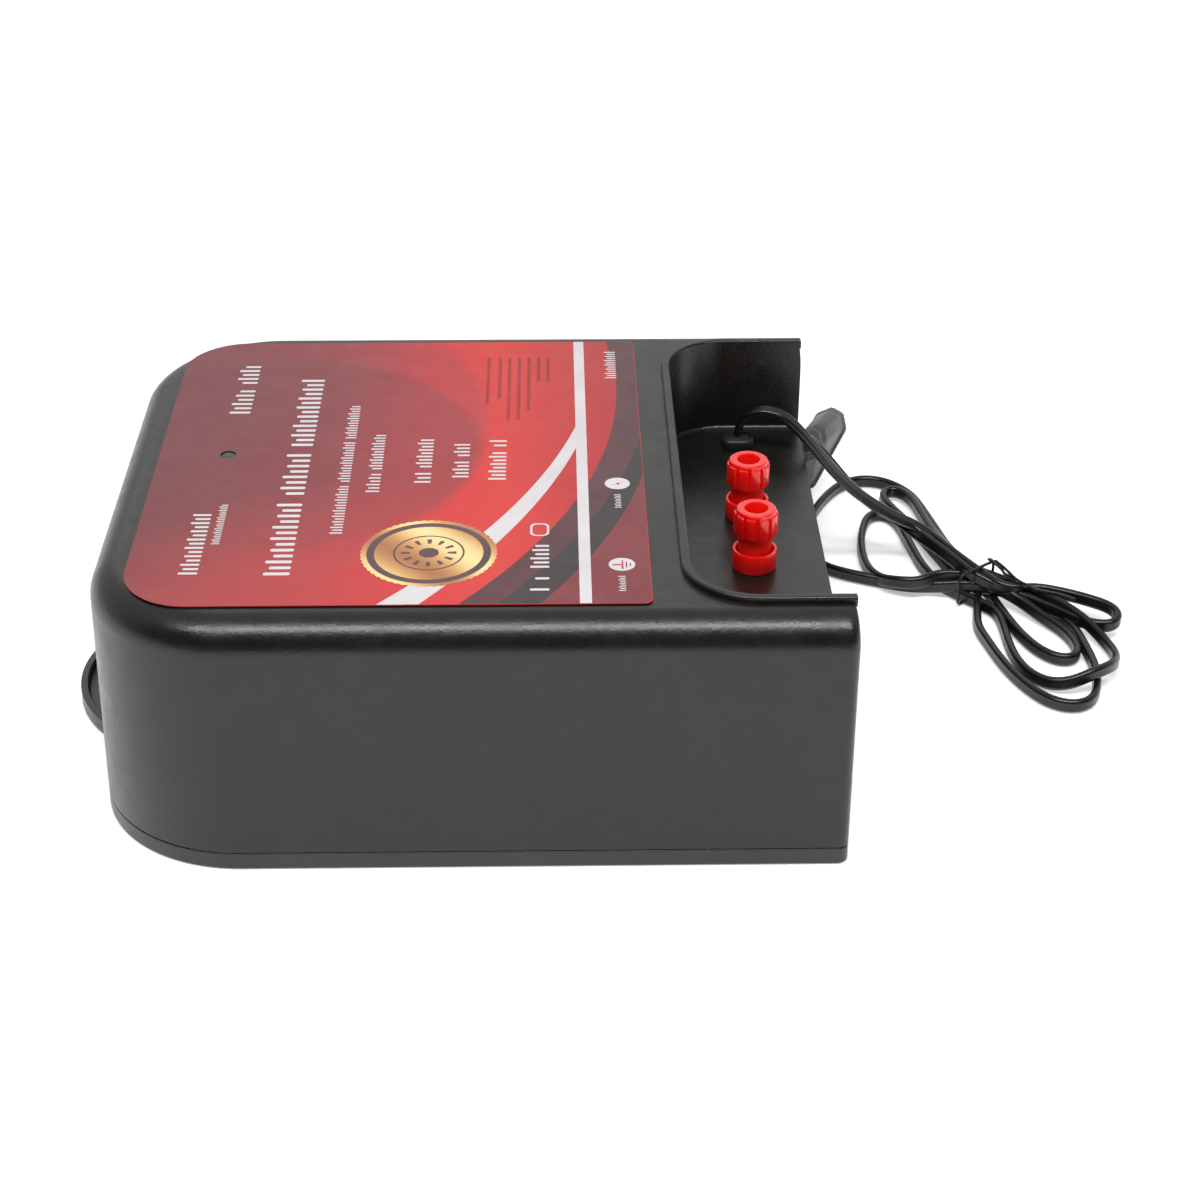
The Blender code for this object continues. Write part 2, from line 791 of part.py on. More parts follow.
def power_cord_hank():
    """The outer shape of the tied loops, as one closed solid with round ends."""
    points = millimetres(
        (195.6, 56.2, 0), (186.0, 57.0, 0), (171.0, 65.4, 0), (151.5, 73.5, 0), (138.5, 83.0, 0),
        (133.6, 99.0, 0), (134.8, 118.0, 0), (140.6, 134.0, 0), (148.6, 146.5, 0), (158.0, 157.0, 0),
        (168.5, 166.0, 0), (181.0, 160.0, 0), (190.5, 143.5, 0), (196.5, 122.0, 0), (200.5, 100.0, 0),
        (203.6, 82.0, 0), (206.6, 66.8, 0), (223.0, 66.0, 0), (244.0, 52.0, 0), (256.0, 39.0, 0),
        (253.0, 22.0, 0), (251.0, 5.0, 0), (242.0, -11.0, 0), (228.0, -28.0, 0), (213.0, -20.0, 0),
        (203.0, -2.0, 0), (197.0, 20.0, 0), (194.0, 40.0, 0),
    )
    outline = [(p.x, p.y) for p in smooth_route(points, cord_width, closed=True)]
    flat_curve("power_cord_hank", [outline], hank_bottom, hank_bottom + hank_height, "cord_black")


tie_centre = Vector((0.2010, 0.0616, 0))
tie_across = Vector((0.78, 0.62, 0)).normalized()


def cord_tie():
    """A wire ring round the hank's waist."""
    low = tie_wire + gap / 3
    high = hank_bottom + hank_height + gap + tie_wire
    corner = 5 * tie_wire
    outline = rounded_outline(-tie_half_width, tie_half_width, low, high, corner, corner, 4, 4)
    route = [tie_centre + tie_across * u + Vector((0, 0, v)) for u, v in outline]
    tube("cord_tie", route, tie_wire, "tie_black", resolution=1, cyclic=True)


# ---------------------------------------------------------------- plug

plug_face = Vector((0.1446, 0.1578, 0.0198))
plug_axis = Vector((0.179, 0.826, -0.534)).normalized()
plug_side = Vector((0.490, 0.396, 0.776))
plug_long = (plug_side - plug_axis * plug_axis.dot(plug_side)).normalized()
plug_thin = plug_axis.cross(plug_long)


def plug_point(along, across, ahead):
    """A point of the plug: along its long side, across its thin side, ahead of its face."""
    return plug_face + plug_long * along + plug_thin * across + plug_axis * ahead


def plug_frame():
    turn = Matrix((plug_long, plug_thin, plug_axis)).transposed().to_4x4()
    return Matrix.Translation(plug_face) @ turn


def plug_ring(half_length, half_thickness, point, z):
    """A section of the plug: a flattened six-sided outline with softened corners."""
    soft = min(0.0012, half_thickness * 0.3)
    slope_end = half_length - half_thickness + point
    corners = [
        (half_length, -point), (half_length, point), (slope_end, half_thickness - soft),
        (slope_end - soft * 2, half_thickness),
    ]
    mirrored = [(-x, y) for x, y in corners[::-1]]
    upper = corners[1:] + mirrored[:3]
    return ring_at(upper + [(-x, -y) for x, y in upper], z)


def plug_body():
    sections = [
        (0.0052, 0.0042, 0.0014, -plug_length), (0.0062, 0.0050, 0.0018, -plug_length + 0.006),
        (0.0085, 0.0055, 0.0020, -plug_length + 0.008), (0.0130, 0.0058, 0.0022, -0.019),
        (0.0165, 0.0062, 0.0025, -0.008), (0.0182, 0.0068, 0.0028, -0.0030),
        (plug_half_length, plug_half_thickness, 0.0030, -0.0026),
        (plug_half_length, plug_half_thickness, 0.0030, 0),
    ]
    body = loft("plug_body", [plug_ring(*section) for section in sections], "plug_grey")
    body.matrix_local = plug_frame()


def plug_pins():
    profile = [
        (0, gap + pin_length), (pin_radius * 0.55, gap + pin_length), (pin_radius, gap + pin_length - 0.0015),
        (pin_radius, gap), (0, gap),
    ]
    for number, side in ((1, -1), (2, 1)):
        pin = turned(f"plug_pin_{number}", profile, (0, 0, 0), "nickel", steps=14)
        pin.matrix_local = plug_frame() @ Matrix.Translation((side * pin_spacing / 2, 0, 0))


# ---------------------------------------------------------------- circuit board

def board_place(along, up):
    """A point on the board, measured from its left and far edges."""
    return board_left + along, board_far - up


def board_screw_places():
    near = board_width - board_screw_inset
    far = board_length - board_screw_inset
    inset = board_screw_inset
    return [board_place(a, u) for a in (inset, far) for u in (inset, near)]


def circuit_board():
    x0, y1 = board_place(0, 0)
    x1, y0 = board_place(board_length, board_width)
    outline = rounded_outline(x0, x1, y0, y1, 0.002, 0.002, 2, 2)
    holes = [arc(centre, board_screw_radius + gap, 0, 330, 11) for centre in board_screw_places()]
    flat_curve("circuit_board", [outline, *holes], board_level, board_top, "board_green")


def pan_screw(name, x, y, seat_level, length):
    """A small pan-head screw whose head sits just above the given level."""
    head = board_screw_radius * 2
    top = pan_head_height
    profile = [
        (0, top), (head * 0.7, top), (head, top * 0.55), (head, 0), (board_screw_radius, 0),
        (board_screw_radius, -length), (0, -length),
    ]
    turned(name, profile, (x, y, seat_level + gap), "zinc_steel", steps=12)


def board_screws():
    for number, (x, y) in enumerate(board_screw_places(), 1):
        pan_screw(f"board_screw_{number}", x, y, board_top, board_screw_length)


def storage_capacitors():
    """Screw-can electrolytics with a rolled top edge and a bevelled foot."""
    top = capacitor_height
    rolled = 0.001
    foot = rolled / 2
    profile = [
        (0, top), (capacitor_radius - rolled, top), (capacitor_radius, top - rolled),
        (capacitor_radius, foot), (capacitor_radius - foot, 0), (0, 0),
    ]
    for number, along in ((1, 0.033), (2, 0.073)):
        x, y = board_place(along, 0.033)
        turned(f"storage_capacitor_{number}", profile, (x, y, on_board), "capacitor_blue", steps=24)


def heat_sink():
    """A comb section standing on the board, its flat back towards the thyristor."""
    x, y = board_place(0.115, 0.020)
    half = 0.015
    back = 0.003
    depth = 0.014
    fin = 0.0016
    count = 6
    outline = [(x + half, y - back), (x + half, y + depth - back)]
    pitch = (2 * half - fin) / (count - 1)
    for number in range(count - 1):
        right = x + half - number * pitch - fin
        left = x + half - (number + 1) * pitch
        outline += [(right, y + depth - back), (right, y), (left, y), (left, y + depth - back)]
    outline += [(x - half, y + depth - back), (x - half, y - back)]
    flat_curve("heat_sink", [outline], on_board, on_board + 0.030, "aluminium")


def thyristor():
    """A moulded body on a metal-thick tab, its three legs joined as one low block."""
    x, y = board_place(0.115, 0.0233)
    body = box("thyristor", (x - 0.005, y - 0.0045, 0.0185), (x + 0.005, y, 0.0340), "black_epoxy")
    join(body, box("thyristor_legs", (x - 0.003, y - 0.0030, on_board), (x + 0.003, y - 0.0020, 0.019)))


def fuse_place():
    return board_place(0.133, 0.083)


def fuse_holder():
    """A low base with two pairs of spring clips."""
    x, y = fuse_place()
    half_length, half_width = 0.013, 0.004
    low = (x - half_length, y - half_width, on_board)
    base = box("fuse_holder", low, (x + half_length, y + half_width, fuse_seat), "tinned_copper")
    for side in (-1, 1):
        for edge in (-1, 1):
            clip_x, clip_y = x + side * 0.008, y + edge * 0.0035
            low = (clip_x - 0.002, clip_y - 0.0004, fuse_seat - gap)
            high = (clip_x + 0.002, clip_y + 0.0004, fuse_seat + 2 * fuse_cap + gap)
            join(base, box(f"fuse_clip_{side}_{edge}", low, high))


def fuse():
    """A glass tube with a plated cap at each end."""
    x, y = fuse_place()
    half = 0.010
    cap_end = half - 0.005
    glass = fuse_cap - gap
    profile = [
        (0, half), (fuse_cap, half), (fuse_cap, cap_end), (glass, cap_end), (glass, -cap_end),
        (fuse_cap, -cap_end), (fuse_cap, -half), (0, -half),
    ]
    piece = turned("fuse", profile, (x, y, fuse_seat + fuse_cap + gap), "clear_glass", steps=16)
    piece.rotation_euler = (0, math.radians(90), 0)


def terminal_block_place():
    return board_place(0.138, 0.025)


def mains_terminal_block():
    x, y = terminal_block_place()
    block = box(
        "mains_terminal_block", (x - 0.008, y - 0.009, on_board), (x + 0.008, y + 0.009, on_board + 0.012),
        "green_plastic", bevel=0.0005,
    )
    centres = [(x - 0.001, y - 0.0045), (x - 0.001, y + 0.0045)]
    cut(block, cylinders("block_screw_holes", centres, 0.0022, on_board + 0.006, 0.04, steps=12))


def small_board_parts():
    x, y = board_place(0.092, 0.070)
    box("filter_capacitor", (x - 0.013, y - 0.006, on_board), (x + 0.013, y + 0.006, on_board + 0.020),
        "capacitor_yellow", bevel=0.0007)
    for number, up in ((1, 0.068), (2, 0.082)):
        x, y = board_place(0.048, up)
        low = (x - 0.0125, y - 0.0045, on_board)
        high = (x + 0.0125, y + 0.0045, on_board + 0.009)
        box(f"charge_resistor_{number}", low, high, "cement_white", bevel=0.0005)
    x, y = board_place(0.121, 0.055)
    disc = [
        (0, 0.0022), (0.006, 0.0022), (0.007, 0.0012), (0.007, -0.0012), (0.006, -0.0022), (0, -0.0022),
    ]
    piece = turned("varistor", disc, (x, y, on_board + 0.0075), "varistor_blue", steps=20)
    piece.rotation_euler = (math.radians(90), 0, 0)


# ---------------------------------------------------------------- transformer

def upright(piece, y):
    """Stand a plate drawn in the XY plane on its edge, centred at the given depth."""
    piece.rotation_euler = (math.radians(90), 0, 0)
    piece.location = (0, y, 0)
    return piece


def rectangle(x0, x1, y0, y1):
    return [(x0, y0), (x1, y0), (x1, y1), (x0, y1)]


def core_window():
    """Width of each window and the heights of its ends."""
    width = (core_length - core_leg) / 2 - core_yoke
    return width, core_bottom + core_yoke, core_bottom + core_height - core_yoke


def transformer_core():
    width, low, high = core_window()
    half = core_length / 2
    outlines = [rectangle(core_x - half, core_x + half, core_bottom, core_bottom + core_height)]
    for side in (-1, 1):
        inner = core_x + side * core_leg / 2
        outer = inner + side * width
        outlines.append(rectangle(min(inner, outer), max(inner, outer), low, high))
    piece = flat_curve("transformer_core", outlines, -core_depth / 2, core_depth / 2, "laminated_steel")
    upright(piece, core_y)


def leg_ring(offset, z):
    """A rounded rectangle round the core's middle leg, at a distance from it."""
    half_x = core_leg / 2 + offset
    half_y = core_depth / 2 + offset
    corner = max(offset * 0.5, 0.0002)
    outline = rounded_outline(
        core_x - half_x, core_x + half_x, core_y - half_y, core_y + half_y, corner, corner, 2, 2
    )
    return ring_at(outline, z)


def transformer_bobbin():
    width, low, high = core_window()
    low += gap
    high -= gap
    tube_out = gap + bobbin_wall
    flange = width - 2 * gap
    rings = [
        (gap, low), (flange, low), (flange, low + bobbin_wall), (tube_out, low + bobbin_wall),
        (tube_out, high - bobbin_wall), (flange, high - bobbin_wall), (flange, high), (gap, high),
    ]
    loft("transformer_bobbin", [leg_ring(*ring) for ring in rings], "nylon_white", closed=True)


def winding_reach():
    return core_window()[0] - 0.002


def transformer_winding():
    low = core_window()[1] + 2 * gap + bobbin_wall
    high = core_window()[2] - 2 * gap - bobbin_wall
    inner = 2 * gap + bobbin_wall
    outer = winding_reach()
    soft = 0.001
    rings = [
        (inner, low), (outer - soft, low), (outer, low + soft), (outer, high - soft), (outer - soft, high),
        (inner, high),
    ]
    loft("transformer_winding", [leg_ring(*ring) for ring in rings], "winding_tape", closed=True)


def transformer_screw_places():
    reach = core_length / 2 + gap + bracket_thickness + foot_length / 2
    return [(core_x + side * reach, core_y) for side in (-1, 1)]


def transformer_bracket():
    """A steel strap over the core with a foot each side, on bosses of the rear cover."""
    half = core_length / 2 + gap
    top = core_bottom + core_height + gap
    t = bracket_thickness
    foot = foot_level + gap
    right = [(half + t + foot_length, foot), (half + t + foot_length, foot + t), (half + t, foot + t)]
    outline = [(half, foot)] + right + [(half + t, top + t)]
    outline += [(-x, z) for x, z in outline[::-1]]
    outline += [(-half, top), (half, top)]
    outline = [(core_x + x, z) for x, z in outline]
    strap = flat_curve("transformer_bracket", [outline], -bracket_width / 2, bracket_width / 2)
    bpy.context.view_layer.update()
    strap = as_mesh(upright(strap, core_y), "zinc_steel")
    hole = board_screw_radius + gap
    holes = cylinders("bracket_holes", transformer_screw_places(), hole, foot - t, foot + 2 * t, steps=12)
    cut(strap, holes)


def transformer_screws():
    foot_top = foot_level + gap + bracket_thickness
    for number, (x, y) in enumerate(transformer_screw_places(), 1):
        pan_screw(f"transformer_screw_{number}", x, y, foot_top, foot_screw_length)


# ---------------------------------------------------------------- wiring inside the case

def output_leads():
    """High-voltage leads from the winding to the lugs under the shelf."""
    start_y = core_y + core_depth / 2 + winding_reach() + gap
    lug_x = terminal_place(0)[0] - lug_tail()
    radius = 0.0012
    lug_z = shelf_bottom - gap - radius
    for name, y, shift, rise in (("fence_lead", terminal_sides["fence"], 0.008, 0.040),
                                 ("earth_lead", terminal_sides["earth"], -0.002, 0.030)):
        start = (core_x + shift, start_y, rise)
        points = [
            start, (start[0], start_y + 0.004, rise), (start[0] + 0.030, start_y + 0.014, rise + 0.004),
            ((start[0] + lug_x) / 2 + 0.010, y - 0.006, (rise + lug_z) / 2),
            (lug_x - 0.014, y, lug_z - 0.001), (lug_x - 0.004, y, lug_z), (lug_x - gap, y, lug_z),
        ]
        lead(name, points, radius, "black_wire")


def primary_lead():
    start_y = core_y + core_depth / 2 + winding_reach() + gap
    x = core_x - 0.012
    end_y = board_far - board_width + 0.004
    points = [
        (x, start_y, 0.020), (x, start_y + 0.004, 0.020), (x, (start_y + end_y) / 2, 0.021),
        (x, end_y - 0.004, 0.0205), (x, end_y, 0.0175), (x, end_y, on_board + gap),
    ]
    lead("primary_lead", points, 0.0014, "red_wire")


def mains_inner_lead():
    """From the strain relief's tail down to the terminal block."""
    x, y = relief_place()
    block_x, block_y = terminal_block_place()
    level = on_board + 0.006
    end = block_x + 0.008 + gap
    top = relief_bottom() - gap
    points = [
        (x, y, top), (x, y, top - 0.008), (x - 0.006, (y + block_y) / 2, (top + level) / 2 - 0.003),
        ((x + end) / 2, block_y, level + 0.002), (end + 0.008, block_y, level), (end, block_y, level),
    ]
    lead("mains_inner_lead", points, 0.0018, "cord_black")


# ---------------------------------------------------------------- assembly

for spec in (
    ("charcoal_abs", (0.055, 0.055, 0.052), 0.42),
    ("black_foam", (0.03, 0.03, 0.03), 0.9),
    ("zinc_steel", (0.62, 0.62, 0.60), 0.35, 1.0),
    ("label_red", (0.45, 0.03, 0.05), 0.35),
    ("led_grey", (0.45, 0.45, 0.43), 0.25),
    ("terminal_red", (0.80, 0.02, 0.02), 0.28),
    ("brass", (0.72, 0.55, 0.26), 0.3, 1.0),
    ("tinned_copper", (0.70, 0.68, 0.64), 0.35, 1.0),
    ("black_rubber", (0.02, 0.02, 0.02), 0.6),
    ("cord_black", (0.025, 0.025, 0.025), 0.45),
    ("tie_black", (0.02, 0.02, 0.02), 0.5),
    ("plug_grey", (0.11, 0.11, 0.11), 0.5),
    ("nickel", (0.70, 0.69, 0.66), 0.2, 1.0),
    ("board_green", (0.03, 0.22, 0.10), 0.45),
    ("capacitor_blue", (0.04, 0.08, 0.30), 0.35),
    ("aluminium", (0.75, 0.75, 0.76), 0.4, 1.0),
    ("black_epoxy", (0.02, 0.02, 0.02), 0.5),
    ("clear_glass", (0.80, 0.84, 0.84), 0.1),
    ("green_plastic", (0.05, 0.35, 0.14), 0.4),
    ("capacitor_yellow", (0.75, 0.58, 0.08), 0.4),
    ("cement_white", (0.78, 0.76, 0.72), 0.8),
    ("varistor_blue", (0.06, 0.20, 0.50), 0.5),
    ("laminated_steel", (0.24, 0.25, 0.27), 0.5, 1.0),
    ("nylon_white", (0.80, 0.79, 0.74), 0.5),
    ("winding_tape", (0.55, 0.42, 0.10), 0.45),
    ("red_wire", (0.60, 0.03, 0.03), 0.5),
    ("black_wire", (0.03, 0.03, 0.03), 0.5),
):
    make_material(*spec)

clear_scene()
frame_origin = bpy.data.objects.new("frame_origin", None)
parts.objects.link(frame_origin)
frame_origin.location.x = ear_reach / 2
bpy.context.view_layer.update()

front_cover()
rear_cover()
cover_gasket()
cover_screws()
front_label()
status_led()
led_lead()
terminals()
strain_relief()
power_cord_lead()
power_cord_tail()
power_cord_hank()
cord_tie()
plug_body()
plug_pins()
circuit_board()
board_screws()
storage_capacitors()
heat_sink()
thyristor()
fuse_holder()
fuse()
mains_terminal_block()
small_board_parts()
transformer_core()
transformer_bobbin()
transformer_winding()
transformer_bracket()
transformer_screws()
output_leads()
primary_lead()
mains_inner_lead()
bpy.context.view_layer.update()
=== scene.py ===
"""Looks of a mains electric-fence energizer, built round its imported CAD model.

Lengths are in metres, except where a list is said to be in millimetres. Places are given from the
centre of the case's footprint, on its back face, and link() moves each piece into the frame.
"""
import json
import math

import bmesh
import bpy
from mathutils import Matrix, Vector

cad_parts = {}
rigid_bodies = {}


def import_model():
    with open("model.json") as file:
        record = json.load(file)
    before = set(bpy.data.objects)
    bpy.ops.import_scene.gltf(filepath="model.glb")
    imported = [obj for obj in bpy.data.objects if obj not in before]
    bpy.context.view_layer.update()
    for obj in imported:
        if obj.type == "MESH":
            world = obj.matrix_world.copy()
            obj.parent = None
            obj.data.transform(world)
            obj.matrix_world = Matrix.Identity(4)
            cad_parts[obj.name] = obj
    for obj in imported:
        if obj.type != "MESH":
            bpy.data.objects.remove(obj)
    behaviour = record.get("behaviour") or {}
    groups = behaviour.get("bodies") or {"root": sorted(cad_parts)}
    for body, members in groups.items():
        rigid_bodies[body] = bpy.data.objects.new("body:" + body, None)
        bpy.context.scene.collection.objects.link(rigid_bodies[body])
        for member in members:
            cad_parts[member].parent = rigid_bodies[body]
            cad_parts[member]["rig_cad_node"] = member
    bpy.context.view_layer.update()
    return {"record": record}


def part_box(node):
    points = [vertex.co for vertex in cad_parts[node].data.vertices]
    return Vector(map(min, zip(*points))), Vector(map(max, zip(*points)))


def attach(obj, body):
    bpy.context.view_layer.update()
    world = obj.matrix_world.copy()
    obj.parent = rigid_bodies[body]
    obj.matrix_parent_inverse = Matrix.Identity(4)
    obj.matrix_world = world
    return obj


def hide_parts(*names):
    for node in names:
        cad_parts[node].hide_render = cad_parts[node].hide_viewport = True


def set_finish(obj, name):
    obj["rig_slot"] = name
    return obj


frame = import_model()

casing = "casing"
mm = 0.001

# The case, from the frame
case_low, case_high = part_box("front_cover")
label_low, label_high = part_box("front_label")
middle_x = (case_low.x + case_high.x) / 2
case_width = case_high.y - case_low.y
right_end = case_high.x - middle_x
left_end = -right_end
cup_low, cup_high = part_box("fence_terminal_base")
spigot_length = 2.7 * mm
shelf = cup_low.z + spigot_length
cup_radius = (cup_high.x - cup_low.x) / 2


# ---- helpers

def link(name, data, slot, body=casing):
    """A piece in case coordinates that rides on a body and takes a slot's finish."""
    piece = bpy.data.objects.new(name, data)
    bpy.context.scene.collection.objects.link(piece)
    piece.location.x = middle_x
    if slot:
        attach(piece, body)
        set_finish(piece, slot)
    return piece


def smooth_curve(points, spacing):
    """Evenly spaced points on a smooth curve through the given vectors."""
    guides = [points[0] * 2 - points[1]] + points + [points[-1] * 2 - points[-2]]
    fine_steps = 24
    fine = []
    for a, b, c, d in zip(guides, guides[1:], guides[2:], guides[3:]):
        for step in range(fine_steps):
            t = step / fine_steps
            fine.append(0.5 * (2 * b + (c - a) * t + (2 * a - 5 * b + 4 * c - d) * t**2
                               + (3 * b - a - 3 * c + d) * t**3))
    fine.append(points[-1])
    length = sum((q - p).length for p, q in zip(fine, fine[1:]))
    count = max(2, round(length / spacing))
    route, walked = [fine[0]], 0.0
    for p, q in zip(fine, fine[1:]):
        step = (q - p).length
        while len(route) < count and walked + step >= len(route) * length / count:
            share = (len(route) * length / count - walked) / step
            route.append(p.lerp(q, share))
        walked += step
    return route + [fine[-1]]


# ---- mesh tools

def arc(centre, radius, start, end, steps):
    angles = [math.radians(start + (end - start) * i / steps) for i in range(steps + 1)]
    return [(centre[0] + radius * math.cos(a), centre[1] + radius * math.sin(a)) for a in angles]


def circle(centre, radius, steps=60):
    return arc(centre, radius, 0, 360 - 360 / steps, steps - 1)


def quarter(steps):
    """Sine and cosine at equal steps of a quarter turn."""
    angles = [math.radians(90 * step / steps) for step in range(steps + 1)]
    return [(math.sin(angle), math.cos(angle)) for angle in angles]


def rounded_outline(x0, x1, y0, y1, left, right, left_steps=36, right_steps=10):
    """Counter-clockwise rectangle whose left and right corners have their own radii."""
    outline = arc((x1 - right, y0 + right), right, -90, 0, right_steps)
    outline += arc((x1 - right, y1 - right), right, 0, 90, right_steps)
    outline += arc((x0 + left, y1 - left), left, 90, 180, left_steps)
    outline += arc((x0 + left, y0 + left), left, 180, 270, left_steps)
    return outline


def ring_at(outline, z):
    return [(x, y, z) for x, y in outline]


def mesh_from(name, bm, angle=32):
    bmesh.ops.recalc_face_normals(bm, faces=bm.faces)
    mesh = bpy.data.meshes.new(name)
    bm.to_mesh(mesh)
    bm.free()
    mesh.shade_smooth()
    mesh.set_sharp_from_angle(angle=math.radians(angle))
    return mesh


def loft(rings, closed=False):
    """Skin a row of rings with the same number of points, and cap the ends or join them."""
    bm = bmesh.new()
    loops = [[bm.verts.new(point) for point in ring] for ring in rings]
    following = loops[1:] + loops[:1] if closed else loops[1:]
    for lower, upper in zip(loops, following):
        for i in range(len(lower)):
            bm.faces.new((lower[i - 1], lower[i], upper[i], upper[i - 1]))
    if not closed:
        bm.faces.new(loops[0][::-1])
        bm.faces.new(loops[-1])
    bmesh.ops.recalc_face_normals(bm, faces=bm.faces)
    return bm


def spun(profile, centre, steps=72, closed=True):
    """A profile of (radius, height) points turned about Z."""
    rings = [
        [(centre[0] + r * math.cos(math.tau * i / steps), centre[1] + r * math.sin(math.tau * i / steps), z)
         for i in range(steps)]
        for r, z in profile
    ]
    return loft(rings, closed)


def cylinder(x, y, radius, z0, z1, steps=32):
    return spun([(radius, z0), (radius, z1)], (x, y), steps, closed=False)


def plates(outlines, z0, z1):
    """Solid plates between two heights; an outline inside another is a hole."""
    curve = bpy.data.curves.new("outline", "CURVE")
    curve.dimensions = "2D"
    curve.fill_mode = "BOTH"
    curve.extrude = (z1 - z0) / 2
    for outline in outlines:
        spline = curve.splines.new("POLY")
        spline.points.add(len(outline) - 1)
        for point, (x, y) in zip(spline.points, outline):
            point.co = (x, y, 0, 1)
        spline.use_cyclic_u = True
    holder = bpy.data.objects.new("outline", curve)
    bpy.context.scene.collection.objects.link(holder)
    graph = bpy.context.evaluated_depsgraph_get()
    mesh = bpy.data.meshes.new_from_object(holder.evaluated_get(graph))
    bm = bmesh.new()
    bm.from_mesh(mesh)
    bmesh.ops.remove_doubles(bm, verts=bm.verts, dist=0.0000005)
    bmesh.ops.translate(bm, verts=bm.verts, vec=(0, 0, (z0 + z1) / 2))
    bpy.data.objects.remove(holder)
    return bm


def boolean(base, changes):
    """Cut or join a row of bmeshes with a base bmesh, and give the result as a mesh."""
    scene = bpy.context.scene
    base_piece = bpy.data.objects.new("base", mesh_from("base", base))
    scene.collection.objects.link(base_piece)
    others = []
    for number, (operation, bm) in enumerate(changes):
        other = bpy.data.objects.new(f"other_{number}", mesh_from("other", bm))
        scene.collection.objects.link(other)
        others.append(other)
        change = base_piece.modifiers.new("change", "BOOLEAN")
        change.operation = operation
        change.object = other
        change.solver = "EXACT"
    graph = bpy.context.evaluated_depsgraph_get()
    mesh = bpy.data.meshes.new_from_object(base_piece.evaluated_get(graph))
    for piece in [base_piece, *others]:
        bpy.data.objects.remove(piece)
    mesh.materials.clear()
    return mesh


def settle_normals(piece, angle=32):
    """Keep wide flat faces flat beside their rounded edges."""
    piece.data.shade_smooth()
    piece.data.set_sharp_from_angle(angle=math.radians(angle))
    weigh = piece.modifiers.new("face weights", "WEIGHTED_NORMAL")
    weigh.keep_sharp = True
    weigh.weight = 80


# ---- camera

def make_camera():
    """Above and in front of the case, looking down by about thirty degrees."""
    pitch, yaw, roll = 0.524, 0.022, 0.004
    camera = bpy.data.objects.new("camera", bpy.data.cameras.new("camera"))
    bpy.context.scene.collection.objects.link(camera)
    camera.data.lens = 73.26
    camera.data.sensor_width = 36
    place = Matrix.Translation((middle_x + 0.0293, -0.7987, 0.4978))
    aim = Matrix.Rotation(-yaw, 4, "Z") @ Matrix.Rotation(math.radians(90) - pitch, 4, "X")
    camera.matrix_world = place @ aim @ Matrix.Rotation(roll, 4, "Z")
    camera.data.clip_end = 100
    bpy.context.scene.camera = camera


make_camera()


# ---- cord

cord_width = 5.4 * mm
cord_thickness = 3.2 * mm
lying = 2.8
tie_centre = Vector((201.0, 61.6, 0)) * mm
tie_across = Vector((0.78, 0.62, 0)).normalized()
tie_along = Vector((0.62, -0.78, 0)).normalized()

plug_face = Vector((0.1446, 0.1578, 0.0198))
plug_axis = Vector((0.179, 0.826, -0.534)).normalized()
plug_side = Vector((0.490, 0.396, 0.776))
plug_long = (plug_side - plug_axis * plug_axis.dot(plug_side)).normalized()
plug_thin = plug_axis.cross(plug_long)
plug_length = 36 * mm
gap = 0.3 * mm


def waist(along, aside, height=lying):
    """A point where the loops pass through the tie, in millimetres."""
    point = tie_centre + tie_along * along * mm + tie_across * aside * mm
    return (point.x / mm, point.y / mm, height)


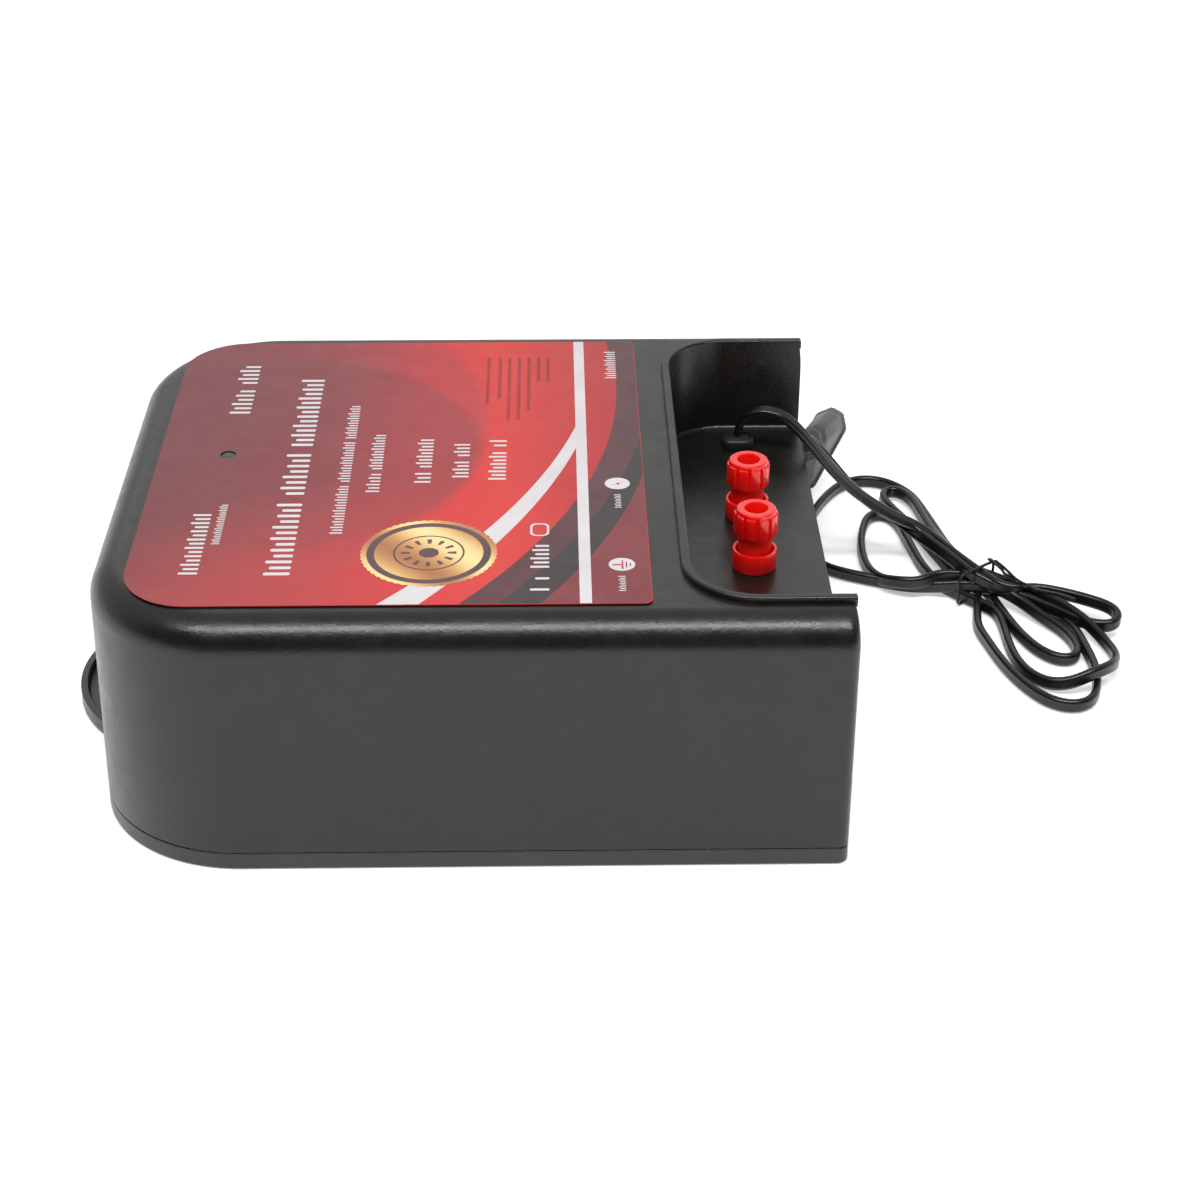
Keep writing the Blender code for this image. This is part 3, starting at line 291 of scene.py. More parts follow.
def cord_route():
    """The whole cord from the strain relief to the plug, with the way its flat section stands.

    Places are in millimetres; one without a height lies on the floor.
    """
    edge = (0.1, 0.1, 1)
    flat = (0.3, 1, 0.2)
    plug_rear = (plug_face - plug_axis * (plug_length + gap)) / mm
    plug_lead = (plug_face - plug_axis * (plug_length + gap + 3 * mm)) / mm
    sections = [
        (flat, [
            (104, 84.5, 64), (104, 84.5, 67.2), (104.4, 84.2, 69.5), (106.2, 83, 72.3), (109.8, 81.3, 75.6),
            (114.6, 79.7, 76.9), (120, 78.6, 75.6), (125.5, 78, 71.3), (131, 78.2, 65), (137, 79.2, 57),
        ]),
        (flat, [(144.5, 81.5, 47), (153, 84.5, 37.5), (162, 87.5, 29.5), (171, 89.8, 22.8), (181, 91, 17.2)]),
        (edge, [waist(-16, 2.2, 13.6), waist(0, 1.6, 11.4), waist(14, 2.8, 9.6)]),
        (edge, [
            (224, 54, 8.6), (236, 50, 8.2), (246.6, 43.6, 8.1), (252.2, 38.8, 7.9), (253.8, 33.4, 7.2),
            (251.3, 28.8, 6.4), (245.8, 28.6, 5.9), (238.4, 33.4, 5.6), (228, 43.6, 5.8),
        ]),
        (edge, [waist(13, 5.5, 6.6), waist(0, -2.5, 6.8), waist(-11, -10.5, 4.6)]),
        (edge, [
            (174, 67.5), (161, 72.5), (150, 77.5), (142, 83), (137.5, 91), (136, 102), (137.5, 118),
            (143, 134), (150, 148), (158, 158), (168, 161.5), (178, 157), (186, 145), (190.5, 125),
            (194.5, 103), (198.5, 88),
        ]),
        (edge, [waist(-13, 9.5), waist(0, 1.2), waist(11, -10.5)]),
        (edge, [
            (198, 34), (200, 22), (202.5, 10), (206, -2), (212, -15), (219, -23), (226.5, -25), (233, -21),
            (236.5, -12), (238, -3), (238.5, 6), (237.5, 19), (235.5, 33), (229, 44, 3.2),
        ]),
        (edge, [waist(14, 8.2, 5.2), waist(0, 2.4, 8.6), waist(-12, -8.2, 8.6)]),
        (edge, [
            (178, 61.5, 7.6), (170, 63.5, 6.8), (164, 70, 4.2), (160, 80), (158.6, 92), (159.5, 106),
            (161.9, 118), (164.6, 126), (169.2, 130), (174.2, 127.4), (177, 119.5), (178.6, 109),
            (180.4, 96), (182.5, 83),
        ]),
        (edge, [waist(-14, -6.2), waist(0, -6), waist(15, -5)]),
        (edge, [
            (208, 36), (208, 22), (209, 9), (212.5, -2), (219, -9.5, 3.2), (227, -11.5, 5), (235, -10, 8),
            (242, -5, 7.6), (246.5, 3, 5), (248, 12, 3.4), (246, 21, 3.4), (241, 30.5, 6), (232, 42, 8.2),
        ]),
        (edge, [waist(15, 10.2, 8.2), waist(0, 6.6, 8.4), waist(-14, 6.4, 8.2)]),
        (edge, [
            (193, 94, 6.6), (189.8, 112, 4.4), (187.6, 127, 4), (185.6, 139, 4), (182, 147, 4),
            (177.3, 149.6, 4), (173.6, 146.6, 4), (173.2, 140, 4), (175.4, 132.4, 4), (180, 120.4, 4),
            (185, 106, 4), (189.5, 91, 4),
        ]),
        (edge, [waist(-13, 3.4, 3.2), waist(0, 5.4), waist(12, -0.5)]),
        (edge, [
            (211, 38.5), (213.8, 28), (217.8, 18), (222.4, 11.4), (227.2, 8.2), (231.8, 9.2), (234.2, 14),
            (233.8, 22), (231, 31), (225, 39.5, 3.6),
        ]),
        (edge, [waist(16, 4.6, 6.5), waist(0, -1.8, 11.4), waist(-16, -0.6, 13.6)]),
        (flat, [(173.5, 97, 17.2), (164, 97, 23.4), (156, 98.2, 29.6), (149.5, 101.2, 35.2)]),
        (plug_long, [(144.2, 106, 39.8), (140.3, 112, 42.6), (138, 118.5, 43), (137.3, 123.2, 41.7)]),
        (plug_long, [tuple(plug_lead), tuple(plug_rear)]),
    ]
    points, stands = [], []
    for stand, places in sections:
        points += [Vector(place if len(place) == 3 else (*place, lying)) * mm for place in places]
        stands += [Vector(stand).normalized()] * len(places)
    return points, stands


def twin_section(width, thickness, steps=10):
    """Half-round edges and a shallow valley down each flat face, as a two-core flat cord has."""
    outline = []
    valley = 0.28 * mm
    reach = (width - thickness) / 2
    for side in (1, -1):
        for step in range(steps + 1):
            angle = math.radians(-90 + 180 * step / steps)
            x = side * (reach + math.cos(angle) * thickness / 2)
            outline.append((x, side * math.sin(angle) * thickness / 2))
        outline.append((0, side * (thickness / 2 - valley)))
    return outline


def direction(path, i):
    """Which way a path runs at its point i."""
    return (path[min(i + 1, len(path) - 1)] - path[max(i - 1, 0)]).normalized()


def swept(name, path, stands, outline, slot):
    """The outline carried along the path, its wide side following the given directions."""
    rings = []
    for i, point in enumerate(path):
        tangent = direction(path, i)
        wide = (stands[i] - tangent * tangent.dot(stands[i])).normalized()
        thin = tangent.cross(wide)
        rings.append([point + wide * u + thin * v for u, v in outline])
    return link(name, mesh_from(name, loft(rings), 50), slot)


def supply_cord():
    """The cord as one swept tube, and the line through its middle in the frame's coordinates."""
    points, stands = cord_route()
    path = smooth_curve(points, 1.6 * mm)
    marks = [0.0]
    for a, b in zip(points, points[1:]):
        marks.append(marks[-1] + (b - a).length)
    facing = []
    for number, _ in enumerate(path):
        at = marks[-1] * number / (len(path) - 1)
        i = max(k for k in range(len(marks) - 1) if marks[k] <= at + 1e-9)
        share = (at - marks[i]) / (marks[i + 1] - marks[i])
        facing.append(stands[i].lerp(stands[i + 1], min(1, max(0, share))))
    for _ in range(12):
        inner = [(a + b * 2 + c).normalized() for a, b, c in zip(facing, facing[1:], facing[2:])]
        facing = [facing[0]] + inner + [facing[-1]]
    for _ in range(7):
        inner = [(a + b * 2 + c) / 4 for a, b, c in zip(path, path[1:], path[2:])]
        path = path[:1] + inner + path[-1:]
    cord = swept("power_cord", path, facing, twin_section(cord_width, cord_thickness), "cord_black")
    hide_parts("power_cord_lead", "power_cord_hank", "power_cord_tail")
    shift = Vector((middle_x, 0, 0))
    line = [tuple(point + shift) for point in path]
    return cord, line


cord, cord_line = supply_cord()


# ---- covers

case_height = label_low.z - gap
lip_top = case_high.z
wall = 3 * mm
draft = 0.014
left_round = 52 * mm
right_round = 4 * mm
top_round = 12 * mm
end_round = 1.5 * mm
parting_height = 6.4 * mm
rim = 1.5 * mm
recess_length = 54.4 * mm
recess_left = right_end - recess_length
recess_side = case_width / 2 - 18.1 * mm
recess_round = 23 * mm
lip_width = 3.2 * mm
shelf_top = shelf - gap
shelf_bottom = shelf_top - wall
screw_inset = 12 * mm
cup_places = [
    (right_end - 26.7 * mm, (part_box(node)[0].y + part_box(node)[1].y) / 2)
    for node in ("fence_terminal_base", "earth_terminal_base")
]
relief_place = (right_end - 26 * mm, recess_side - 17.4 * mm)
led_place = (left_end + 40.4 * mm, 5.6 * mm)


def case_outline(inset, end_inset=None, corner_steps=36):
    end_inset = inset if end_inset is None else end_inset
    half = case_width / 2 - inset
    corner = max(left_round - inset, 1 * mm)
    return rounded_outline(left_end + inset, right_end - end_inset, -half, half, corner, right_round,
                           corner_steps)


def cover_rings(inset, z_bottom, z_top, rounding, end_rounding, steps, edge=0):
    """Rings of the drafted cover from its open edge to its rounded top."""
    low_inset = inset + draft * max(z_bottom, 0)
    rings = []
    for sine, cosine in quarter(4) if edge else []:
        aside = edge * (1 - sine)
        rings.append(ring_at(case_outline(low_inset + aside, inset + aside), z_bottom + edge * (1 - cosine)))
    if not edge:
        rings.append(ring_at(case_outline(low_inset, inset), z_bottom))
    for sine, cosine in quarter(steps):
        z = z_top - rounding + rounding * sine
        aside = inset + draft * z + rounding * (1 - cosine)
        rings.append(ring_at(case_outline(aside, inset + end_rounding * (1 - cosine)), z))
    return rings


def recess_outline(grow, x_end):
    side = recess_side + grow
    return rounded_outline(recess_left - grow, x_end, -side, side, recess_round + grow, 0.5 * mm, 36, 2)


def recess_cutter(grow, bottom, foot, flare):
    """The recess with a rounded foot and a rounded way out over the lip."""
    x_end = right_end + wall
    rings = []
    for sine, cosine in quarter(6):
        rings.append(ring_at(recess_outline(grow - foot * (1 - sine), x_end), bottom + foot * (1 - cosine)))
    for sine, cosine in quarter(6):
        way_out = recess_outline(grow + flare * (1 - cosine), x_end)
        rings.append(ring_at(way_out, lip_top - flare + flare * sine))
    rings.append(ring_at(recess_outline(grow + flare, x_end), lip_top + wall))
    return loft(rings)


def screw_places():
    """Both left corners, both right corners and the middle of both long sides."""
    reach = (left_round - screw_inset) * math.cos(math.radians(45))
    middle = (left_end + left_round + right_end - recess_length) / 2
    places = []
    for side in (-1, 1):
        places.append((left_end + left_round - reach, side * (case_width / 2 - left_round + reach)))
        places.append((right_end - screw_inset, side * (case_width / 2 - screw_inset)))
        places.append((middle, side * (case_width / 2 - screw_inset)))
    return places


def front_cover():
    base = loft(cover_rings(0, parting_height + gap, case_height, top_round, end_round, 14, edge=0.35 * mm))
    lip = []
    lip_side, soft = 1.3, 0.9
    rounding = [(lip_side + soft * sine, soft * (1 - cosine)) for sine, cosine in quarter(5)[1:]]
    for height, inset in [(-1.5, 0), (lip_side, 0), *rounding]:
        grow = lip_width - inset * mm
        lip.append(ring_at(rounded_outline(
            recess_left - grow, right_end - gap - inset * mm * 0.6, -recess_side - grow, recess_side + grow,
            recess_round + grow, 0.6 * mm, 36, 4,
        ), case_height + height * mm))
    hollow = loft(cover_rings(wall, -wall, case_height - wall, top_round - wall, end_round, 8))
    kept_walls = plates([recess_outline(wall, right_end + wall)], shelf_bottom, case_height)
    hollow_mesh = boolean(hollow, [("DIFFERENCE", kept_walls)])
    hollow = bmesh.new()
    hollow.from_mesh(hollow_mesh)
    changes = [
        ("UNION", loft(lip)),
        ("DIFFERENCE", recess_cutter(0, shelf_top, 1.6 * mm, 0.9 * mm)),
        ("DIFFERENCE", hollow),
    ]
    for x, y in screw_places():
        changes.append(("UNION", cylinder(x, y, 4.5 * mm, 6.3 * mm, 42 * mm)))
        changes.append(("DIFFERENCE", cylinder(x, y, 2 * mm, 0, 23 * mm)))
    for x, y in cup_places:
        changes.append(("DIFFERENCE", cylinder(x, y, 5.8 * mm, shelf_bottom - wall, shelf + wall, 48)))
    x, y = relief_place
    slot = rounded_outline(x - 5 * mm, x + 5 * mm, y - 3.9 * mm, y + 3.9 * mm, 2 * mm, 2 * mm, 6, 6)
    changes.append(("DIFFERENCE", plates([slot], shelf_bottom - wall, shelf + wall)))
    window = cylinder(*led_place, 2.8 * mm, case_height - 2 * wall, case_height + wall, 48)
    changes.append(("DIFFERENCE", window))
    piece = link("front_shell", boolean(base, changes), "charcoal_abs")
    settle_normals(piece)
    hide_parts("front_cover")
    return piece


ear_radius = 54 * mm
dish_radius = 51 * mm
ear_centre = left_end - 21 * mm + ear_radius
keyhole_radius = 4.2 * mm
keyhole_travel = 6 * mm


def rear_outline(inset):
    """The case outline with the hanging ear's arc on its left end."""
    outline = case_outline(inset)
    reach = ear_radius - inset
    half_angle = math.degrees(math.acos((ear_centre - left_end - inset) / reach))
    ear = arc((ear_centre, 0), reach, 180 - half_angle, 180 + half_angle, 48)
    right_corners, far_left_corner = 2 * (10 + 1), 36 + 1
    join = right_corners + far_left_corner
    return outline[:join] + ear + outline[join:]


def dish_ring(inset, z):
    """A ring of the hollow in the ear, between its rim and the case."""
    reach = dish_radius - inset
    turn = math.degrees(math.acos((ear_centre - left_end + rim + inset) / reach))
    return ring_at(arc((ear_centre, 0), reach, 180 - turn, 180 + turn, 48), z)


def rear_cover():
    """The flat back with its rim, ear, screw pads and standoffs."""
    top_inset = draft * parting_height
    edge, soft, flare, dish_foot = 0.8 * mm, 0.4 * mm, 0.5 * mm, 1 * mm
    rings = [ring_at(rear_outline(edge * (1 - sine)), edge * (1 - cosine)) for sine, cosine in quarter(5)]
    for sine, cosine in quarter(4):
        rim_outline = rear_outline(top_inset + soft * (1 - cosine))
        rings.append(ring_at(rim_outline, parting_height - soft * (1 - sine)))
    above = parting_height + wall
    tray = case_outline(rim + top_inset)
    dish = [dish_ring(dish_foot * (1 - sine), wall + dish_foot * (1 - cosine)) for sine, cosine in quarter(5)]
    dish.append(dish_ring(0, parting_height - flare))
    dish.append(dish_ring(-flare, parting_height + 0.1 * mm))
    dish.append(dish_ring(-flare, above))
    changes = [("DIFFERENCE", plates([tray], wall, above)), ("DIFFERENCE", loft(dish))]
    for x, y in screw_places():
        changes.append(("UNION", cylinder(x, y, 6 * mm, wall / 2, 6 * mm)))
        changes.append(("DIFFERENCE", cylinder(x, y, 2 * mm, -wall, 6 * mm + wall)))
        changes.append(("DIFFERENCE", cylinder(x, y, 4.1 * mm, -wall, 3.3 * mm)))
    stands = [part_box(f"board_screw_{number}") for number in range(1, 5)]
    feet = [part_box(f"transformer_screw_{number}") for number in (1, 2)]
    for level, boxes in ((11.7 * mm, stands), (9 * mm, feet)):
        for low, high in boxes:
            x, y = (low.x + high.x) / 2 - middle_x, (low.y + high.y) / 2
            changes.append(("UNION", cylinder(x, y, 3.5 * mm, wall / 2, level)))
            changes.append(("DIFFERENCE", cylinder(x, y, 1.7 * mm, 4 * mm, level + wall)))
    keyhole = left_end - rim - keyhole_radius - 1.5 * mm
    slot = 2.3 * mm
    angle = math.degrees(math.asin(slot / keyhole_radius))
    hole = arc((keyhole, 0), keyhole_radius, -180 + angle, 180 - angle, 48)
    hole += arc((keyhole - keyhole_travel, 0), slot, 90, 270, 20)
    changes.append(("DIFFERENCE", plates([hole], -wall, above)))
    piece = link("rear_shell", boolean(loft(rings), changes), "charcoal_abs")
    settle_normals(piece)
    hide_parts("rear_cover")
    return piece


front_cover()
rear_cover()


# ---- terminals

def cup(name, node, x, y):
    """A red cup with a rolled rim and a small bead round its foot."""
    r = cup_radius / mm
    profile = [
        (r - 1.2, 7.2), (r - 1.1, 7.55), (r - 0.8, 7.7), (r - 0.4, 7.7), (r - 0.1, 7.55), (r, 7.2), (r, 0.5),
        (r - 0.15, 0.12), (r - 0.4, 0), (5.5, 0), (5.5, -2.7), (3.3, -2.7), (3.3, 1.5), (r - 1.8, 1.5),
        (r - 1.4, 1.65), (r - 1.2, 2.0),
    ]
    bm = spun([(a * mm, shelf + b * mm) for a, b in profile], (x, y), 96)
    piece = link(name, mesh_from(name, bm, 40), "terminal_red")
    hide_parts(node)


def knob(name, node, body, x, y):
    """A screw knob: smooth neck, rounded grip ribs under a plain ring, and a round socket.

    Its profile is in millimetres: radius, height and, where there are ribs, how far they stand out.
    """
    low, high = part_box(node)
    bottom, top = (low.z - shelf) / mm, (high.z - shelf) / mm
    grip = bottom + 9.2
    ribs, rib_reach = 10, 0.8
    profile = [
        (3.3, bottom), (5.7, bottom), (6.1, bottom + 0.15), (6.2, bottom + 0.5), (6.2, grip - 0.45),
        (6.25, grip - 0.1), (6.5, grip), (7.0, grip), (7.25, grip + 0.1, 0.3), (7.3, grip + 0.35, 0.75),
        (7.3, grip + 0.8, 1), (7.3, top - 2.2, 1), (7.3, top - 1.75, 0.85), (7.3, top - 1.5, 0.4),
        (7.3, top - 1.4, 0), (7.3, top - 0.6), (7.2, top - 0.25), (6.95, top - 0.06), (6.6, top), (4.7, top),
        (4.4, top - 0.08), (4.2, top - 0.35), (4.2, top - 7), (3.3, top - 7),
    ]
    rings = []
    steps = 240
    for r, z, *ribbed in profile:
        rib = sum(ribbed)
        ring = []
        for i in range(steps):
            turn = math.tau * i / steps
            phase = abs((turn * ribs / math.tau + 0.5) % 1 - 0.5) * 2
            rise = min(1, max(0, (0.82 - phase) / 0.1))
            rise = rise * rise * (3 - 2 * rise)
            crown = 1 - 0.06 * phase**2
            radius = (r + rib_reach * rib * rise * crown - (0.4 * rib * (1 - rise))) * mm
            ring.append((x + radius * math.cos(turn), y + radius * math.sin(turn), shelf + z * mm))
        rings.append(ring)
    piece = link(name, mesh_from(name, loft(rings, closed=True), 38), "terminal_red", body)
    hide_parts(node)


for side, (x, y) in zip(("fence", "earth"), cup_places):
    cup(f"{side}_cup", f"{side}_terminal_base", x, y)
    knob(f"{side}_knob_grip", f"{side}_knob", f"{side}_knob_body", x, y)


# ---- strain relief, plug and tie

def relief():
    """A flat head on the shelf, a snap shoulder below it and short tapered sleeves on both sides."""
    x, y = relief_place
    under = shelf_bottom - gap
    sections = [
        (6.6, 4.8, under - 9.2 * mm), (7.4, 5.4, under - 6 * mm), (10.4, 8.2, under - 2 * mm),
        (10.4, 8.2, under), (9.4, 7.2, under), (9.4, 7.2, shelf), (12.0, 9.7, shelf),
        (12.3, 10, shelf + 0.3 * mm), (12.3, 10, shelf + 2.9 * mm), (12.0, 9.7, shelf + 3.4 * mm),
        (11.2, 8.9, shelf + 3.9 * mm), (10.3, 8, shelf + 4.15 * mm), (8.8, 6.5, shelf + 4.2 * mm),
        (7.4, 5.2, shelf + 4.5 * mm), (6.9, 4.7, shelf + 5.2 * mm),
    ]
    rings = []
    for length, depth, z in sections:
        corner = min(length, depth) * 0.34 * mm
        half_length, half_depth = length / 2 * mm, depth / 2 * mm
        rings.append(ring_at(rounded_outline(
            x - half_length, x + half_length, y - half_depth, y + half_depth, corner, corner, 10, 10,
        ), z))
    piece = link("cord_bushing", mesh_from("cord_bushing", loft(rings), 40), "black_rubber")
    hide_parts("strain_relief")
    return piece


def plug():
    """A flat six-sided two-pin plug with a flange round its face and a ringed neck."""
    turn = Matrix((plug_long, plug_thin, plug_axis)).transposed().to_4x4()
    frame_of_plug = Matrix.Translation(plug_face) @ turn
    sections = [
        (5.0, 4.0, 1.4, -36), (5.3, 4.3, 1.5, -35.6), (5.4, 4.4, 1.5, -34.6), (4.9, 3.9, 1.4, -34.2),
        (4.9, 3.9, 1.4, -33.4), (5.7, 4.6, 1.6, -33.0), (5.8, 4.7, 1.6, -31.9), (5.1, 4.1, 1.5, -31.5),
        (5.1, 4.1, 1.5, -30.8), (6.1, 4.9, 1.8, -30.4), (6.4, 5.0, 1.8, -29), (8.5, 5.5, 2.0, -27.6),
        (10.8, 5.6, 2.1, -23.6), (13.2, 5.8, 2.2, -19), (15.7, 6.0, 2.35, -13), (17.6, 6.2, 2.5, -8),
        (18.4, 6.3, 2.6, -5), (18.8, 6.4, 2.7, -3.1), (19.0, 6.6, 2.8, -2.75), (19.6, 7.3, 3.0, -2.65),
        (19.85, 7.42, 3.0, -2.35), (20.0, 7.5, 3.0, -1.9), (20.0, 7.5, 3.0, -0.7), (19.85, 7.42, 3.0, -0.25),
        (19.5, 7.2, 2.9, 0), (12.0, 4.4, 1.8, 0),
    ]
    rings = []
    for half_length, half_thickness, point, z in sections:
        soft = min(1.2, half_thickness * 0.3)
        slope_end = half_length - half_thickness + point
        corners = [
            (half_length - 0.25 * soft, -point - 0.1), (half_length, -point * 0.5),
            (half_length, point * 0.5), (half_length - 0.25 * soft, point + 0.1),
            (slope_end + 0.2 * soft, half_thickness - 0.9 * soft),
            (slope_end - 0.7 * soft, half_thickness - 0.25 * soft), (slope_end - soft * 1.8, half_thickness),
        ]
        upper = corners[2:] + [(-u, v) for u, v in corners[::-1]][:-2]
        outline = upper + [(-u, -v) for u, v in upper]
        rings.append([frame_of_plug @ Vector((u * mm, v * mm, z * mm)) for u, v in outline])
    piece = link("plug_shell", mesh_from("plug_shell", loft(rings), 22), "plug_grey")
    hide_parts("plug_body")
    return piece


def tie():
    """A thin wire tie: a rounded band round the waist, twisted at the top, with one tail left long."""
    half, low, high = 10.8 * mm, 0.7 * mm, 14.9 * mm
    corner = 3 * mm
    outline = rounded_outline(-half, half, low, high, corner, corner, 10, 10)
    start = max(range(len(outline)), key=lambda i: outline[i][1] + outline[i][0] * 0.001)
    outline = outline[start:] + outline[:start]
    points = [
        tie_centre + tie_across * u + Vector((0, 0, v)) + tie_along * (0.5 - i / len(outline)) * 2.4 * mm
        for i, (u, v) in enumerate(outline)
    ]
    top = points[0]
    spare = [top + Vector(move) * mm for move in (
        (2, -1.8, 0.5), (5, -6, -0.6), (8, -10.6, -2), (11.6, -14.6, -2.6), (14.4, -17.4, -2.8),
        (18, -18.8, -3), (24, -20.4, -3.6), (30, -22.6, -4.8),
    )]
    other = [points[-1] + Vector(move) * mm for move in (
        (1.2, -3.2, 0.6), (4.2, -6.4, -1), (5.2, -9.6, -1.4), (8.4, -10.8, -2.4), (8.8, -13.6, -2.6),
        (11, -14.6, -3), (11.6, -16.8, -3.2), (13.4, -17.4, -3.4),
    )]
    route = smooth_curve([*reversed(spare), *points, *other], 0.5 * mm)
    rings = []
    for i, point in enumerate(route):
        tangent = direction(route, i)
        side = tangent.cross(Vector((0.13, 0.2, 1))).normalized()
        up = side.cross(tangent)
        rings.append([
            point + (side * math.cos(math.tau * k / 12) + up * math.sin(math.tau * k / 12)) * 0.6 * mm
            for k in range(12)
        ])
    piece = link("wire_tie", mesh_from("wire_tie", loft(rings), 60), "tie_black")
    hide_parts("cord_tie")
    return piece


bushing = relief()
plug_piece = plug()
tie_piece = tie()


# ---- label

print_step = 0.012 * mm


def print_layer(name, outlines, layer, slot="label_film"):
    """Ink on the label: thin solids, each layer a hair above the one below."""
    low = label_high.z + print_step * (layer - 1)
    bm = plates([millimetre_outline(outline) for outline in outlines], low + 0.002 * mm, low + print_step)
    return link(name, mesh_from(name, bm), slot)


def millimetre_outline(outline):
    return [(x * mm, y * mm) for x, y in outline]


def sweep(start, through, end, steps=60):
    """The circular arc from start to end that passes through a third point."""
    first, second, third = Vector(start), Vector(through), Vector(end)
    near, far = second - first, third - first
    twice_area = 2 * (near.x * far.y - near.y * far.x)
    centre = first + Vector((
        far.y * near.length_squared - near.y * far.length_squared,
        near.x * far.length_squared - far.x * near.length_squared,
    )) / twice_area
    from_angle, to_angle = [math.atan2(point.y - centre.y, point.x - centre.x) for point in (first, third)]
    turn = (to_angle - from_angle + math.pi) % math.tau - math.pi
    radius = (first - centre).length
    return arc(centre, radius, math.degrees(from_angle), math.degrees(from_angle + turn), steps)


def bar(x0, x1, y0, y1):
    """A rounded bar of ink."""
    r = min(x1 - x0, y1 - y0) * 0.35
    return rounded_outline(x0, x1, y0, y1, r, r, 5, 5)


def words(x0, x1, y0, y1, shares):
    """A line of print left unreadable: words of plain strokes, side by side along Y."""
    height = x1 - x0
    stroke = height * 0.22
    space = height * 0.75
    run = (y1 - y0) - space * (len(shares) - 1)
    strokes, at = [], y0
    for number, share in enumerate(shares):
        length = run * share / sum(shares)
        count = max(1, round(length / (height * 0.44)))
        pitch = (length - stroke) / max(1, count - 1)
        for i in range(count):
            low = at + i * pitch if count > 1 else at + (length - stroke) / 2
            top = x0 + height * (0, 0.26, 0.1, 0.26, 0, 0.18)[(i * 5 + number) % 6]
            strokes.append(bar(top, x1, low, low + stroke))
        at += length + space
    return strokes


